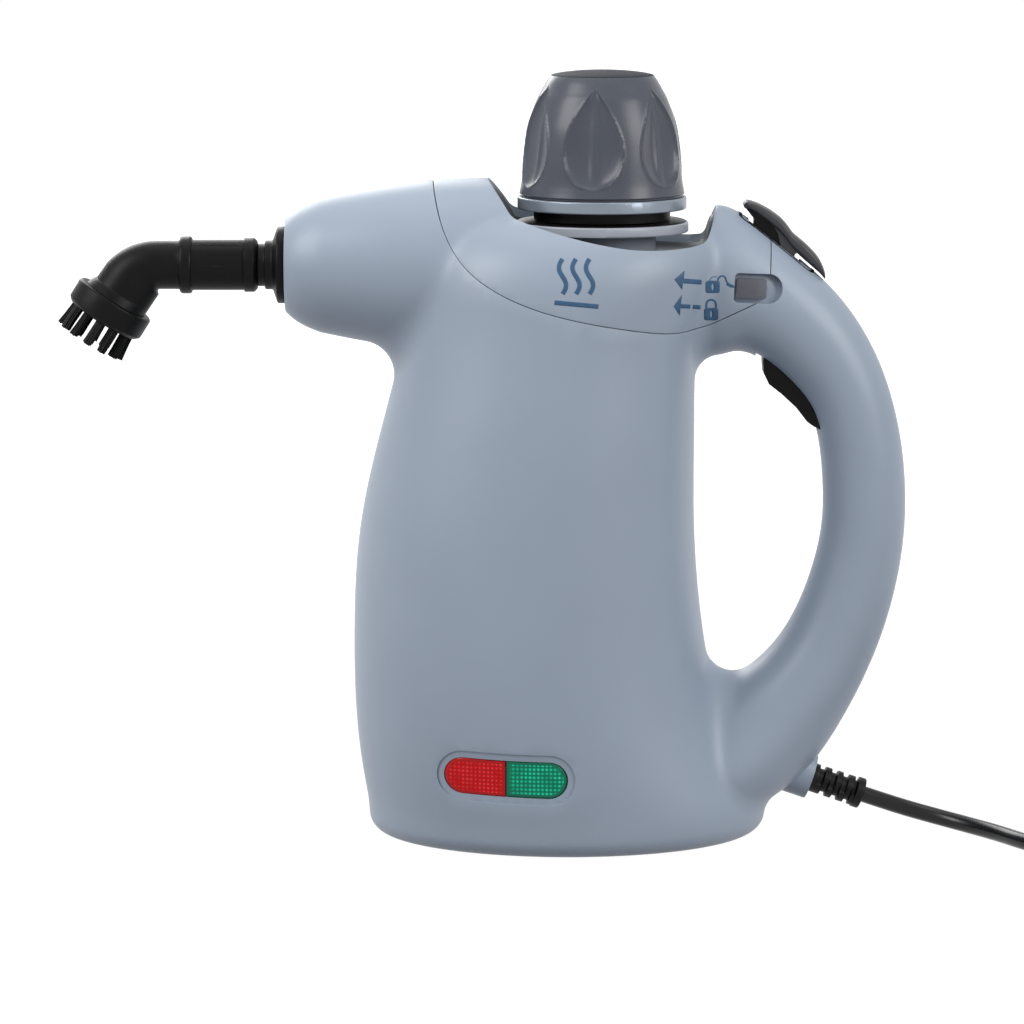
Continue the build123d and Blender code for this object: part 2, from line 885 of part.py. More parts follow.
# Cord clamp seat in the lamp-side shell
clamp_centre = boss_face - boss_direction * clamp_distance
clamp_plane = Plane(origin=clamp_centre, x_dir=boss_direction, z_dir=(0, -1, 0))
clamp_across = clamp_plane.y_dir
with BuildPart() as clamp_seat:
    with BuildSketch(clamp_plane.offset(clamp_half_gap)):
        Rectangle(clamp_width, clamp_length)
    extrude(amount=clamp_seat_depth)
    add(housing_form.part, mode=Mode.INTERSECT)
    add(along_cylinder(clamp_centre - boss_direction * clamp_width, boss_direction,
                       cord_radius + fit_gap, clamp_width * 2), mode=Mode.SUBTRACT)
    for side in (-1, 1):
        place = clamp_centre + clamp_across * (side * clamp_screw_spacing / 2)
        add(cross_cylinder(place.X, place.Z, clamp_screw_radius + fit_gap,
                           -clamp_screw_depth - fit_gap, 0), mode=Mode.SUBTRACT)

with BuildPart() as left_shell:
    add(plain_shell.part)
    add(slot_floor.part)
    add(slot_tie.part)
    add(clamp_seat.part)
    add(slot_recess_form, mode=Mode.SUBTRACT)
    add(lamp_recess_form, mode=Mode.SUBTRACT)
    add(lamp_hole_open, mode=Mode.SUBTRACT)
    for hole in pin_holes:
        add(hole, mode=Mode.SUBTRACT)
    for reach, height in boss_places:
        add(cross_cylinder(reach, height, screw_pilot_radius,
                           screw_head_depth - housing_screw_length - fit_gap, 0), mode=Mode.SUBTRACT)
left_shell.part.label = "left_shell"
export_step(left_shell.part, "parts/left_shell.step")

with BuildPart() as right_shell:
    add(mirror(plain_shell.part, about=Plane.XZ))
    for reach, height in boss_places:
        add(cross_cylinder(reach, height, screw_hole_radius, 0, body_width), mode=Mode.SUBTRACT)
        add(cross_cylinder(reach, height, screw_head_pocket_radius, screw_head_depth, body_width),
            mode=Mode.SUBTRACT)
right_shell.part.label = "right_shell"
export_step(right_shell.part, "parts/right_shell.step")

# Top cover with the filler pocket's wall and floor
with BuildPart() as cover_half:
    add(housing_form.part)
    for hollow in hollows:
        add(hollow, mode=Mode.SUBTRACT)
    add(common(pocket_form(wall, wall), housing_form.part))
    add(seam_zone(part_gap), mode=Mode.INTERSECT)
    add(pocket, mode=Mode.SUBTRACT)
    add(lever_opening, mode=Mode.SUBTRACT)

with BuildPart() as top_cover:
    add(cover_half.part)
    add(mirror(cover_half.part, about=Plane.XZ))
    add(slot_small, mode=Mode.SUBTRACT)
    add(along_cylinder((0, 0, boiler_rim_height), (0, 0, 1), neck_radius + neck_fit_gap, overrun),
        mode=Mode.SUBTRACT)
top_cover.part.label = "top_cover"
export_step(top_cover.part, "parts/top_cover.step")

with BuildPart() as tray_ring:
    add(pocket_form(-part_gap, -part_gap))
    add(pocket_form(-part_gap - tray_wall, -part_gap - tray_wall), mode=Mode.SUBTRACT)
    add(along_cylinder((0, 0, boiler_rim_height), (0, 0, 1), neck_radius + neck_fit_gap, overrun),
        mode=Mode.SUBTRACT)
with BuildPart() as tray_waste:
    add(tray_ring.part)
    for sections in (body_sections(tray_rim_drop), handle_sections(tray_rim_drop),
                     nose_sections(nose_barrel_shares, tray_rim_drop)):
        add(loft_part(sections), mode=Mode.SUBTRACT)
with BuildPart() as tray_half:
    add(tray_ring.part)
    add(tray_waste.part, mode=Mode.SUBTRACT)
    add(box_between((-body_length, -body_length, 0), (body_length, 0, body_length * 2)), mode=Mode.INTERSECT)
with BuildPart() as filler_tray:
    add(tray_half.part)
    add(mirror(tray_half.part, about=Plane.XZ))
filler_tray.part.label = "filler_tray"
export_step(filler_tray.part, "parts/filler_tray.step")

tray_floor_top = pocket_floor_height + part_gap + tray_wall
with BuildPart() as filler_collar:
    add(turned((
        (neck_radius + neck_fit_gap, tray_floor_top + fit_gap),
        (collar_hub_radius, tray_floor_top + fit_gap),
        (collar_hub_radius, collar_low_height),
        (collar_radius, collar_low_height),
        (collar_radius, collar_low_height + collar_thickness),
        (neck_radius + neck_fit_gap, collar_low_height + collar_thickness),
    )))
    fillet(filler_collar.edges().filter_by(GeomType.CIRCLE).sort_by(SortBy.RADIUS)[-2:], collar_round)
filler_collar.part.label = "filler_collar"
export_step(filler_collar.part, "parts/filler_collar.step")


def boiler_screw_spots():
    return PolarLocations(boiler_screw_circle, boiler_screw_count, start_angle=boiler_screw_phase)


def boiler_hole(low, high, radius):
    """Cutters for the ring of screws through the boiler's flanges."""
    with BuildPart() as holes:
        with BuildSketch(Plane.XY.offset(low)):
            with Locations((boiler_centre, 0)):
                with boiler_screw_spots():
                    Circle(radius)
        extrude(amount=high - low)
    return holes.part


# Boiler: pot, gasket, lid, screws and neck
flange_top = boiler_rim_height + boiler_flange_thickness
with BuildPart() as boiler_pot:
    add(turned((
        (0, boiler_base_height),
        (boiler_radius - boiler_base_round, boiler_base_height),
        (boiler_radius, boiler_base_height + boiler_base_round),
        (boiler_radius, boiler_rim_height),
        (boiler_flange_radius, boiler_rim_height),
        (boiler_flange_radius, flange_top),
        (boiler_radius - boiler_wall, flange_top),
        (boiler_radius - boiler_wall, boiler_base_height + boiler_base_round + boiler_wall / 2),
        (boiler_radius - boiler_base_round - boiler_wall / 2, boiler_base_height + boiler_wall),
        (0, boiler_base_height + boiler_wall),
    ), boiler_centre))
    add(boiler_hole(boiler_rim_height - wall, flange_top + wall, boiler_screw_radius + fit_gap),
        mode=Mode.SUBTRACT)
boiler_pot.part.label = "boiler_pot"
export_step(boiler_pot.part, "parts/boiler_pot.step")

with BuildPart() as boiler_gasket:
    with BuildSketch(Plane.XY.offset(flange_top)):
        with Locations((boiler_centre, 0)):
            Circle(boiler_flange_radius)
            Circle(boiler_radius - boiler_wall, mode=Mode.SUBTRACT)
    extrude(amount=boiler_gasket_thickness)
    add(boiler_hole(boiler_rim_height, lid_top_height, boiler_screw_radius + fit_gap), mode=Mode.SUBTRACT)
boiler_gasket.part.label = "boiler_gasket"
export_step(boiler_gasket.part, "parts/boiler_gasket.step")

with BuildPart() as boiler_lid:
    add(turned((
        (0, lid_top_height - boiler_wall),
        (lid_drum_radius - boiler_wall, lid_top_height - boiler_wall),
        (lid_drum_radius - boiler_wall, lid_base_height),
        (boiler_flange_radius, lid_base_height),
        (boiler_flange_radius, lid_base_height + lid_flange_thickness),
        (lid_drum_radius, lid_base_height + lid_flange_thickness),
        (lid_drum_radius, lid_top_height),
        (0, lid_top_height),
    ), boiler_centre))
    add(boiler_hole(lid_base_height - wall, lid_base_height + wall * 2, boiler_screw_radius + fit_gap),
        mode=Mode.SUBTRACT)
    add(along_cylinder((0, 0, boiler_rim_height), (0, 0, 1), neck_radius + fit_gap, overrun),
        mode=Mode.SUBTRACT)
    add(along_cylinder((valve_inlet_reach, 0, boiler_rim_height), (0, 0, 1), valve_port_radius, overrun),
        mode=Mode.SUBTRACT)
boiler_lid.part.label = "boiler_lid"
export_step(boiler_lid.part, "parts/boiler_lid.step")

with BuildPart() as boiler_screws:
    head_base = lid_base_height + lid_flange_thickness
    add(boiler_hole(boiler_rim_height + fit_gap, head_base, boiler_screw_radius))
    add(boiler_hole(head_base, head_base + screw_head_thickness, boiler_screw_radius * screw_head_ratio))
boiler_screws.part.label = "boiler_screws"
export_step(boiler_screws.part, "parts/boiler_screws.step")

with BuildPart() as filler_neck:
    add(turned((
        (neck_bore_radius, lid_top_height - neck_spigot_depth),
        (neck_radius, lid_top_height - neck_spigot_depth),
        (neck_radius, lid_top_height),
        (neck_flange_radius, lid_top_height),
        (neck_flange_radius, lid_top_height + neck_flange_thickness),
        (neck_radius, lid_top_height + neck_flange_thickness),
        (neck_radius, neck_top_height),
        (neck_bore_radius, neck_top_height),
    )))
filler_neck.part.label = "filler_neck"
export_step(filler_neck.part, "parts/filler_neck.step")

# Heater, thermostat and fuse
plate_low = boiler_base_height - heater_plate_thickness
with BuildPart() as heater_element:
    with BuildSketch(Plane.XY.offset(plate_low)):
        with Locations((boiler_centre, 0)):
            Circle(heater_plate_radius)
    extrude(amount=heater_plate_thickness)
    ring_height = plate_low - heater_tube_radius * heater_seat_share
    ring_plane = Plane(origin=(boiler_centre, 0, ring_height), x_dir=(1, 0, 0), z_dir=(0, 0, 1))
    ring_plane = spun(ring_plane, heater_gap_angle / 2)
    with BuildSketch(Plane(origin=ring_plane.origin, x_dir=ring_plane.x_dir, z_dir=-ring_plane.y_dir)):
        with Locations((heater_ring_radius, 0)):
            Circle(heater_tube_radius)
    revolve(axis=Axis((boiler_centre, 0, 0), (0, 0, 1)), revolution_arc=360 - heater_gap_angle)
    for side in (-1, 1):
        angle = math.radians(side * heater_gap_angle / 2)
        start = Vector(boiler_centre + heater_ring_radius * math.cos(angle),
                       heater_ring_radius * math.sin(angle), ring_height)
        add(along_cylinder(start, (0, 0, -1), heater_tube_radius, heater_tail_length))
heater_element.part.label = "heater_element"
export_step(heater_element.part, "parts/heater_element.step")

with BuildPart() as thermostat:
    add(along_cylinder((boiler_centre, 0, plate_low - thermostat_height), (0, 0, 1), thermostat_radius,
                       thermostat_height))
    for side in (-1, 1):
        middle = side * thermostat_tab_spacing / 2
        low = plate_low - thermostat_height - thermostat_tab_length
        add(box_between((boiler_centre - thermostat_tab_width / 4, middle - thermostat_tab_width, low),
                        (boiler_centre + thermostat_tab_width / 4, middle + thermostat_tab_width,
                         plate_low - thermostat_height)))
thermostat.part.label = "thermostat"
export_step(thermostat.part, "parts/thermostat.step")

with BuildPart() as thermal_fuse:
    add(cross_cylinder(boiler_centre - fuse_offset, plate_low - fuse_radius, fuse_radius,
                       -fuse_length / 2, fuse_length / 2))
    add(cross_cylinder(boiler_centre - fuse_offset, plate_low - fuse_radius, fuse_radius / 4,
                       -fuse_length, fuse_length))
thermal_fuse.part.label = "thermal_fuse"
export_step(thermal_fuse.part, "parts/thermal_fuse.step")

# Steam valve
chamber_start = valve_back + valve_seat_wall
chamber_end = valve_back + valve_length - valve_end_wall
riser_reach = valve_back + valve_seat_wall / 2
with BuildPart() as valve_body:
    add(box_between((valve_back, -valve_width / 2, lid_top_height),
                    (valve_back + valve_length, valve_width / 2, lid_top_height + valve_low_height)))
    add(box_between((valve_back, -valve_width / 2, lid_top_height),
                    (valve_back + valve_tower_length, valve_width / 2, lid_top_height + valve_height)))
    add(along_cylinder((chamber_start, 0, valve_axis_height), (1, 0, 0), valve_chamber_radius,
                       chamber_end - chamber_start), mode=Mode.SUBTRACT)
    add(along_cylinder((chamber_start, 0, valve_axis_height), (1, 0, 0), stem_radius + fit_gap, valve_length),
        mode=Mode.SUBTRACT)
    add(along_cylinder((riser_reach, 0, valve_axis_height), (1, 0, 0), valve_port_radius, valve_seat_wall),
        mode=Mode.SUBTRACT)
    add(along_cylinder((riser_reach, 0, valve_axis_height), (0, 0, 1), valve_port_radius,
                       nose_axis_height - valve_axis_height), mode=Mode.SUBTRACT)
    add(along_cylinder((valve_back - wall, 0, nose_axis_height), (1, 0, 0), valve_port_radius,
                       wall + valve_seat_wall / 2), mode=Mode.SUBTRACT)
    add(along_cylinder((valve_back - wall, 0, nose_axis_height), (1, 0, 0), steam_tube_radius + fit_gap,
                       wall + steam_tube_inset), mode=Mode.SUBTRACT)
    add(along_cylinder((valve_inlet_reach, 0, lid_top_height - wall), (0, 0, 1), valve_port_radius,
                       valve_axis_height - lid_top_height + wall), mode=Mode.SUBTRACT)
valve_body.part.label = "valve_body"
export_step(valve_body.part, "parts/valve_body.step")

with BuildPart() as valve_stem:
    add(along_cylinder((chamber_start + fit_gap, 0, valve_axis_height), (1, 0, 0),
                       valve_chamber_radius - part_gap, valve_head_length))
    add(along_cylinder((chamber_start + fit_gap, 0, valve_axis_height), (1, 0, 0), stem_radius,
                       stem_end_reach - chamber_start - fit_gap))
valve_stem.part.label = "valve_stem"
export_step(valve_stem.part, "parts/valve_stem.step")

valve_spring_start = chamber_start + valve_head_length + 2 * fit_gap
with BuildPart() as valve_spring:
    spring_plane = Plane(origin=(valve_spring_start, 0, valve_axis_height), x_dir=(0, 1, 0), z_dir=(1, 0, 0))
    add(coil_spring(spring_plane, valve_spring_radius, valve_spring_wire,
                    chamber_end - valve_spring_start - fit_gap, valve_spring_turns))
valve_spring.part.label = "valve_spring"
export_step(valve_spring.part, "parts/valve_spring.step")

yoke_inner = neck_radius + yoke_neck_gap
yoke_outer = yoke_inner + yoke_web
yoke_shift = yoke_travel_room / 2
with BuildPart() as pull_yoke:
    with BuildSketch(Plane.XY.offset(valve_axis_height - yoke_thickness / 2)):
        with Locations((-yoke_shift + yoke_neck_gap, 0)):
            SlotCenterToCenter(yoke_travel_room, yoke_outer * 2)
    extrude(amount=yoke_thickness)
    add(box_between((0, -yoke_strip_width / 2, valve_axis_height - yoke_thickness / 2),
                    (link_pin_reach, yoke_strip_width / 2, valve_axis_height + yoke_thickness / 2)))
    add(box_between((link_pin_reach - yoke_end_length / 2, -yoke_strip_width / 2,
                     valve_axis_height - yoke_end_height / 2),
                    (link_pin_reach + yoke_end_length / 2, yoke_strip_width / 2,
                     valve_axis_height + yoke_end_height / 2)))
    add(box_between((yoke_lug_back, -yoke_lug_width / 2, valve_axis_height - yoke_lug_height / 2),
                    (yoke_lug_back + yoke_lug_length, yoke_lug_width / 2,
                     valve_axis_height + yoke_lug_height / 2)))
    with BuildSketch(Plane.XY.offset(valve_axis_height - yoke_lug_height)):
        with Locations((-yoke_shift + yoke_neck_gap, 0)):
            SlotCenterToCenter(yoke_travel_room, yoke_inner * 2)
    extrude(amount=yoke_lug_height * 2, mode=Mode.SUBTRACT)
    add(along_cylinder((yoke_lug_back, 0, valve_axis_height), (1, 0, 0), stem_radius + fit_gap,
                       yoke_lug_length), mode=Mode.SUBTRACT)
    add(cross_cylinder(link_pin_reach, valve_axis_height, pin_radius + fit_gap,
                       -yoke_strip_width, yoke_strip_width), mode=Mode.SUBTRACT)
pull_yoke.part.label = "pull_yoke"
export_step(pull_yoke.part, "parts/pull_yoke.step")

with BuildPart() as yoke_pin:
    add(cross_cylinder(link_pin_reach, valve_axis_height, pin_radius, -trigger_width / 2, trigger_width / 2))
yoke_pin.part.label = "yoke_pin"
export_step(yoke_pin.part, "parts/yoke_pin.step")

tube_front = -spigot_inner_reach - steam_tube_inset
with BuildPart() as steam_tube:
    add(along_cylinder((tube_front + fit_gap, 0, nose_axis_height), (1, 0, 0), steam_tube_radius,
                       valve_back + steam_tube_inset - tube_front - 2 * fit_gap))
    add(along_cylinder((tube_front, 0, nose_axis_height), (1, 0, 0), steam_tube_bore,
                       valve_back + steam_tube_inset - tube_front), mode=Mode.SUBTRACT)
steam_tube.part.label = "steam_tube"
export_step(steam_tube.part, "parts/steam_tube.step")

# Outlet spigot, nut and seal
disc_front = -nose_face_reach - disc_thickness
step_front = disc_front - disc_cone_length - step_length
neck_front = step_front - spigot_neck_length
with BuildPart() as nozzle_spigot:
    add(turned_along_x((
        (-spigot_inner_reach, outlet_bore_radius),
        (-spigot_inner_reach, spigot_shank_radius),
        (-nose_face_reach, spigot_shank_radius),
        (-nose_face_reach, disc_radius),
        (disc_front, disc_radius),
        (disc_front - disc_cone_length, step_radius),
        (step_front, step_radius),
        (step_front, spigot_neck_radius),
        (neck_front, spigot_neck_radius),
        (neck_front, spigot_radius),
        (-seal_reach + seal_width / 2, spigot_radius),
        (-seal_reach + seal_width / 2, spigot_radius - seal_depth),
        (-seal_reach - seal_width / 2, spigot_radius - seal_depth),
        (-seal_reach - seal_width / 2, spigot_radius),
        (neck_front - spigot_length, spigot_radius),
        (neck_front - spigot_length, outlet_bore_radius),
    ), nose_axis_height))
    add(along_cylinder((tube_front, 0, nose_axis_height), (1, 0, 0), steam_tube_radius + fit_gap,
                       steam_tube_inset + wall), mode=Mode.SUBTRACT)
nozzle_spigot.part.label = "nozzle_spigot"
export_step(nozzle_spigot.part, "parts/nozzle_spigot.step")

with BuildPart() as nozzle_nut:
    nut_place = Vector(-nose_face_reach + wall + fit_gap, 0, nose_axis_height)
    with BuildSketch(Plane(origin=nut_place, z_dir=(1, 0, 0))):
        RegularPolygon(nut_radius, 6)
        Circle(spigot_shank_radius + fit_gap, mode=Mode.SUBTRACT)
    extrude(amount=nut_thickness)
nozzle_nut.part.label = "nozzle_nut"
export_step(nozzle_nut.part, "parts/nozzle_nut.step")

with BuildPart() as nozzle_seal:
    add(turned_along_x((
        (-seal_reach + seal_width / 2 - seal_gap, spigot_radius - seal_depth + seal_gap),
        (-seal_reach + seal_width / 2 - seal_gap, spigot_radius + seal_gap),
        (-seal_reach - seal_width / 2 + seal_gap, spigot_radius + seal_gap),
        (-seal_reach - seal_width / 2 + seal_gap, spigot_radius - seal_depth + seal_gap),
    ), nose_axis_height))
nozzle_seal.part.label = "nozzle_seal"
export_step(nozzle_seal.part, "parts/nozzle_seal.step")

# Elbow nozzle with its mouth collar
socket_bore = spigot_radius + socket_bore_gap
mouth = -socket_mouth_reach
with BuildPart() as nozzle_collar:
    add(turned_along_x((
        (mouth, mouth_collar_inner_radius + fit_gap),
        (mouth, mouth_collar_radius - mouth_collar_chamfer),
        (mouth - mouth_collar_chamfer, mouth_collar_radius),
        (mouth - mouth_collar_length, mouth_collar_radius),
        (mouth - mouth_collar_length, mouth_collar_inner_radius + fit_gap),
    ), nose_axis_height))
nozzle_collar.part.label = "nozzle_collar"
export_step(nozzle_collar.part, "parts/nozzle_collar.step")

elbow_end = Vector(-elbow_start_reach - elbow_length, 0, nose_axis_height - elbow_drop)
brush_direction = Vector(-math.cos(math.radians(elbow_turn)), 0, -math.sin(math.radians(elbow_turn)))


def elbow_sections():
    sections = []
    for length_share, drop_share, turn_share, radius in elbow_shares:
        turn = math.radians(elbow_turn * turn_share)
        place = (-elbow_start_reach - elbow_length * length_share, 0,
                 nose_axis_height - elbow_drop * drop_share)
        plane = Plane(origin=place, x_dir=(0, 1, 0), z_dir=(-math.cos(turn), 0, -math.sin(turn)))
        with BuildSketch(plane) as face:
            Circle(radius)
        sections.append(face.sketch)
    return sections


socket_end = neck_front - spigot_length - part_gap
with BuildPart() as elbow_nozzle:
    add(turned_along_x((
        (mouth, 0),
        (mouth, mouth_collar_inner_radius),
        (mouth - mouth_collar_length - fit_gap, mouth_collar_inner_radius),
        (mouth - mouth_collar_length - fit_gap, socket_radius),
        (-rear_rib_reach, socket_radius),
        (-rear_rib_reach, rear_rib_radius - rear_rib_round),
        (-rear_rib_reach - rear_rib_round, rear_rib_radius),
        (-rear_rib_reach - rear_rib_width + rear_rib_round, rear_rib_radius),
        (-rear_rib_reach - rear_rib_width, rear_rib_radius - rear_rib_round),
        (-rear_rib_reach - rear_rib_width, 0),
    ), nose_axis_height))
    loft(elbow_sections())
    add(along_cylinder((socket_end, 0, nose_axis_height), (1, 0, 0), socket_bore, overrun),
        mode=Mode.SUBTRACT)
    add(along_cylinder(elbow_end + brush_direction * wall, -brush_direction,
                       brush_spigot_radius + brush_spigot_gap, brush_spigot_length + wall + fit_gap),
        mode=Mode.SUBTRACT)
    with BuildLine():
        channel_start = Line((socket_end + wall, 0, nose_axis_height),
                             (-elbow_start_reach, 0, nose_axis_height))
        Spline(channel_start @ 1, elbow_end - brush_direction * (brush_spigot_length / 2),
               tangents=((-1, 0, 0), brush_direction))
    with BuildSketch(Plane(origin=channel_start @ 0, z_dir=(-1, 0, 0))):
        Circle(elbow_bore_radius)
    sweep(mode=Mode.SUBTRACT)
elbow_nozzle.part.label = "elbow_nozzle"
export_step(elbow_nozzle.part, "parts/elbow_nozzle.step")

brush_plane = Plane(origin=elbow_end, x_dir=(0, 1, 0), z_dir=brush_direction)
with BuildPart() as brush_head:
    with BuildSketch(brush_plane.offset(fit_gap)):
        Circle(brush_radius)
    extrude(amount=brush_thickness)
    rims = brush_head.edges().filter_by(GeomType.CIRCLE).sort_by(Axis((0, 0, 0), tuple(brush_direction)))
    chamfer(rims[-1], brush_edge_round)
    fillet(rims[0], brush_top_round)
    with BuildSketch(brush_plane.offset(-brush_spigot_length)):
        Circle(brush_spigot_radius)
    extrude(amount=brush_spigot_length + wall)
    with BuildSketch(brush_plane.offset(fit_gap + brush_thickness - bristle_pad_thickness)):
        Circle(bristle_pad_radius)
    extrude(amount=wall, mode=Mode.SUBTRACT)
    with BuildSketch(brush_plane.offset(-overrun)):
        Circle(brush_bore_radius)
    extrude(amount=overrun * 2, mode=Mode.SUBTRACT)
brush_head.part.label = "brush_head"
export_step(brush_head.part, "parts/brush_head.step")


def strand_spots():
    """A hexagonal patch of strand places, nineteen to a tuft."""
    spots = []
    for row in range(-2, 3):
        count = 5 - abs(row)
        for column in range(count):
            across = (column - (count - 1) / 2) * bristle_pitch
            spots.append((across, row * bristle_pitch * math.sqrt(3) / 2))
    return spots


with BuildPart() as brush_bristles:
    pad_base = fit_gap + brush_thickness - bristle_pad_thickness
    with BuildSketch(brush_plane.offset(pad_base + seal_gap)):
        Circle(bristle_pad_radius - fit_gap)
        Circle(brush_bore_radius, mode=Mode.SUBTRACT)
    extrude(amount=bristle_pad_thickness - seal_gap)
    for count, radius, splay in ((outer_tuft_count, outer_tuft_radius, outer_splay),
                                 (inner_tuft_count, inner_tuft_radius, inner_splay)):
        for index in range(count):
            angle = 360 * index / count
            root = brush_plane.offset(pad_base + bristle_pad_thickness - bristle_root)
            turned_root = spun(root, angle)
            spot = Plane(origin=turned_root.origin + turned_root.x_dir * radius,
                         x_dir=turned_root.x_dir, z_dir=turned_root.z_dir)
            with BuildSketch(leaned(spot, splay)):
                with Locations(strand_spots()):
                    Rectangle(bristle_width, bristle_width)
            extrude(amount=bristle_length + bristle_root)
brush_bristles.part.label = "brush_bristles"
export_step(brush_bristles.part, "parts/brush_bristles.step")

# Filler cap: grip, ring, core, gasket and springs
grip_profile = [(grip_base_radius * r, grip_low_height + grip_height * z) for r, z in grip_shares]
with BuildPart() as flute_cutters:
    lean = math.radians(flute_lean)
    offset = flute_radius - flute_depth
    with Locations(Pos(0, 0, flute_middle_height + offset * math.sin(lean))):
        with PolarLocations(flute_middle_radius + offset * math.cos(lean), flute_count,
                            start_angle=flute_phase):
            Sphere(flute_radius)
with BuildPart() as cap_grip:
    with BuildSketch(Plane.XZ):
        with BuildLine():
            side_curve = Spline(*grip_profile)
            crown = Spline(side_curve @ 1, (0, grip_low_height + grip_height),
                           tangents=(side_curve % 1, (-1, 0)))
            Polyline(crown @ 1, (0, grip_low_height), side_curve @ 0)
        make_face()
    revolve(axis=Axis.Z)
    add(flute_cutters.part, mode=Mode.SUBTRACT)
    add(along_cylinder((0, 0, grip_low_height - wall), (0, 0, 1), grip_bore_radius, grip_bore_height + wall),
        mode=Mode.SUBTRACT)
    add(along_cylinder((0, 0, grip_low_height), (0, 0, 1), grip_dome_bore_radius, grip_height - grip_roof),
        mode=Mode.SUBTRACT)
cap_grip.part.label = "cap_grip"
export_step(cap_grip.part, "parts/cap_grip.step")

with BuildPart() as cap_ring:
    with BuildSketch(Plane.XY.offset(cap_ring_low_height)):
        Circle(cap_ring_radius)
        Circle(cap_ring_inner_radius, mode=Mode.SUBTRACT)
    extrude(amount=cap_ring_thickness)
    fillet(cap_ring.edges().filter_by(GeomType.CIRCLE).sort_by(SortBy.RADIUS)[-2:], collar_round)
cap_ring.part.label = "cap_ring"
export_step(cap_ring.part, "parts/cap_ring.step")

plug_low = core_gap_height - core_plug_length
core_disc_top = core_gap_height + core_disc_thickness
with BuildPart() as cap_core:
    add(turned((
        (relief_seat_radius, plug_low),
        (core_plug_radius, plug_low),
        (core_plug_radius, core_gap_height),
        (core_disc_radius, core_gap_height),
        (core_disc_radius, core_disc_top),
        (core_drum_radius, core_disc_top),
        (core_drum_radius, core_drum_top_height),
        (relief_bore_radius, core_drum_top_height),
        (relief_bore_radius, plug_low + relief_floor),
        (relief_seat_radius, plug_low + relief_floor),
    )))
cap_core.part.label = "cap_core"
export_step(cap_core.part, "parts/cap_core.step")

with BuildPart() as cap_gasket:
    with BuildSketch(Plane.XY.offset(neck_top_height + fit_gap)):
        Circle(neck_radius)
        Circle(gasket_inner_radius, mode=Mode.SUBTRACT)
    extrude(amount=gasket_thickness)
cap_gasket.part.label = "cap_gasket"
export_step(cap_gasket.part, "parts/cap_gasket.step")

cap_spring_length = grip_low_height + grip_height - grip_roof - core_drum_top_height
with BuildPart() as cap_spring:
    add(coil_spring(Plane.XY.offset(core_drum_top_height + fit_gap), cap_spring_radius, cap_spring_wire,
                    cap_spring_length - 2 * fit_gap, cap_spring_turns))
cap_spring.part.label = "cap_spring"
export_step(cap_spring.part, "parts/cap_spring.step")

poppet_low = plug_low + relief_floor + fit_gap
with BuildPart() as relief_poppet:
    add(turned((
        (0, poppet_low),
        (poppet_radius, poppet_low),
        (poppet_radius, poppet_low + poppet_height / 2),
        (poppet_hollow_radius, poppet_low + poppet_height / 2),
        (poppet_hollow_radius, poppet_low + poppet_height),
        (0, poppet_low + poppet_height),
    )))
relief_poppet.part.label = "relief_poppet"
export_step(relief_poppet.part, "parts/relief_poppet.step")

relief_spring_low = poppet_low + poppet_height / 2 + fit_gap
relief_spring_high = core_drum_top_height - relief_screw_height - fit_gap
with BuildPart() as relief_spring:
    add(coil_spring(Plane.XY.offset(relief_spring_low), relief_spring_radius, relief_spring_wire,
                    relief_spring_high - relief_spring_low, relief_spring_turns))
relief_spring.part.label = "relief_spring"
export_step(relief_spring.part, "parts/relief_spring.step")

with BuildPart() as relief_screw:
    with BuildSketch(Plane.XY.offset(core_drum_top_height - relief_screw_height)):
        Circle(relief_bore_radius - fit_gap)
        RegularPolygon(relief_seat_radius / 2, 6, mode=Mode.SUBTRACT)
    extrude(amount=relief_screw_height - fit_gap)
relief_screw.part.label = "relief_screw"
export_step(relief_screw.part, "parts/relief_screw.step")

# Trigger and its pin
with BuildPart() as trigger:
    add(side_prism(side_polygon([(handle_reach * x, body_height * z) for x, z in trigger_shares]),
                   trigger_width / 2))
    add(cross_cylinder(trigger_pivot_reach, trigger_pivot_height, trigger_boss_radius,
                       -trigger_width / 2, trigger_width / 2))
    add(box_between((0, -trigger_arm_inner / 2, trigger_fork_low_height),
                    (handle_reach, trigger_arm_inner / 2, body_height)), mode=Mode.SUBTRACT)
    add(box_between((link_pin_reach - trigger_notch_width / 2, -body_width, trigger_notch_low_height),
                    (link_pin_reach + trigger_notch_width / 2, body_width, body_height)), mode=Mode.SUBTRACT)
    add(cross_cylinder(trigger_pivot_reach, trigger_pivot_height, pin_radius + fit_gap,
                       -body_width, body_width), mode=Mode.SUBTRACT)
trigger.part.label = "trigger"
export_step(trigger.part, "parts/trigger.step")

with BuildPart() as trigger_pin:
    add(cross_cylinder(trigger_pivot_reach, trigger_pivot_height, pin_radius,
                       -trigger_pin_length / 2, trigger_pin_length / 2))
trigger_pin.part.label = "trigger_pin"
export_step(trigger_pin.part, "parts/trigger_pin.step")

# Thumb lever, its bezel, pin and spring
with BuildPart() as thumb_lever:
    add(side_prism(side_polygon([(handle_reach * x, body_height * z) for x, z in lever_top_shares]),
                   lever_width / 2))
    add(side_prism(side_polygon([(handle_reach * x, body_height * z) for x, z in lever_leg_shares]),
                   lever_leg_width / 2))
    add(cross_cylinder(lever_pivot_reach, lever_pivot_height, pin_radius + fit_gap, -body_width, body_width),
        mode=Mode.SUBTRACT)
thumb_lever.part.label = "thumb_lever"
export_step(thumb_lever.part, "parts/thumb_lever.step")

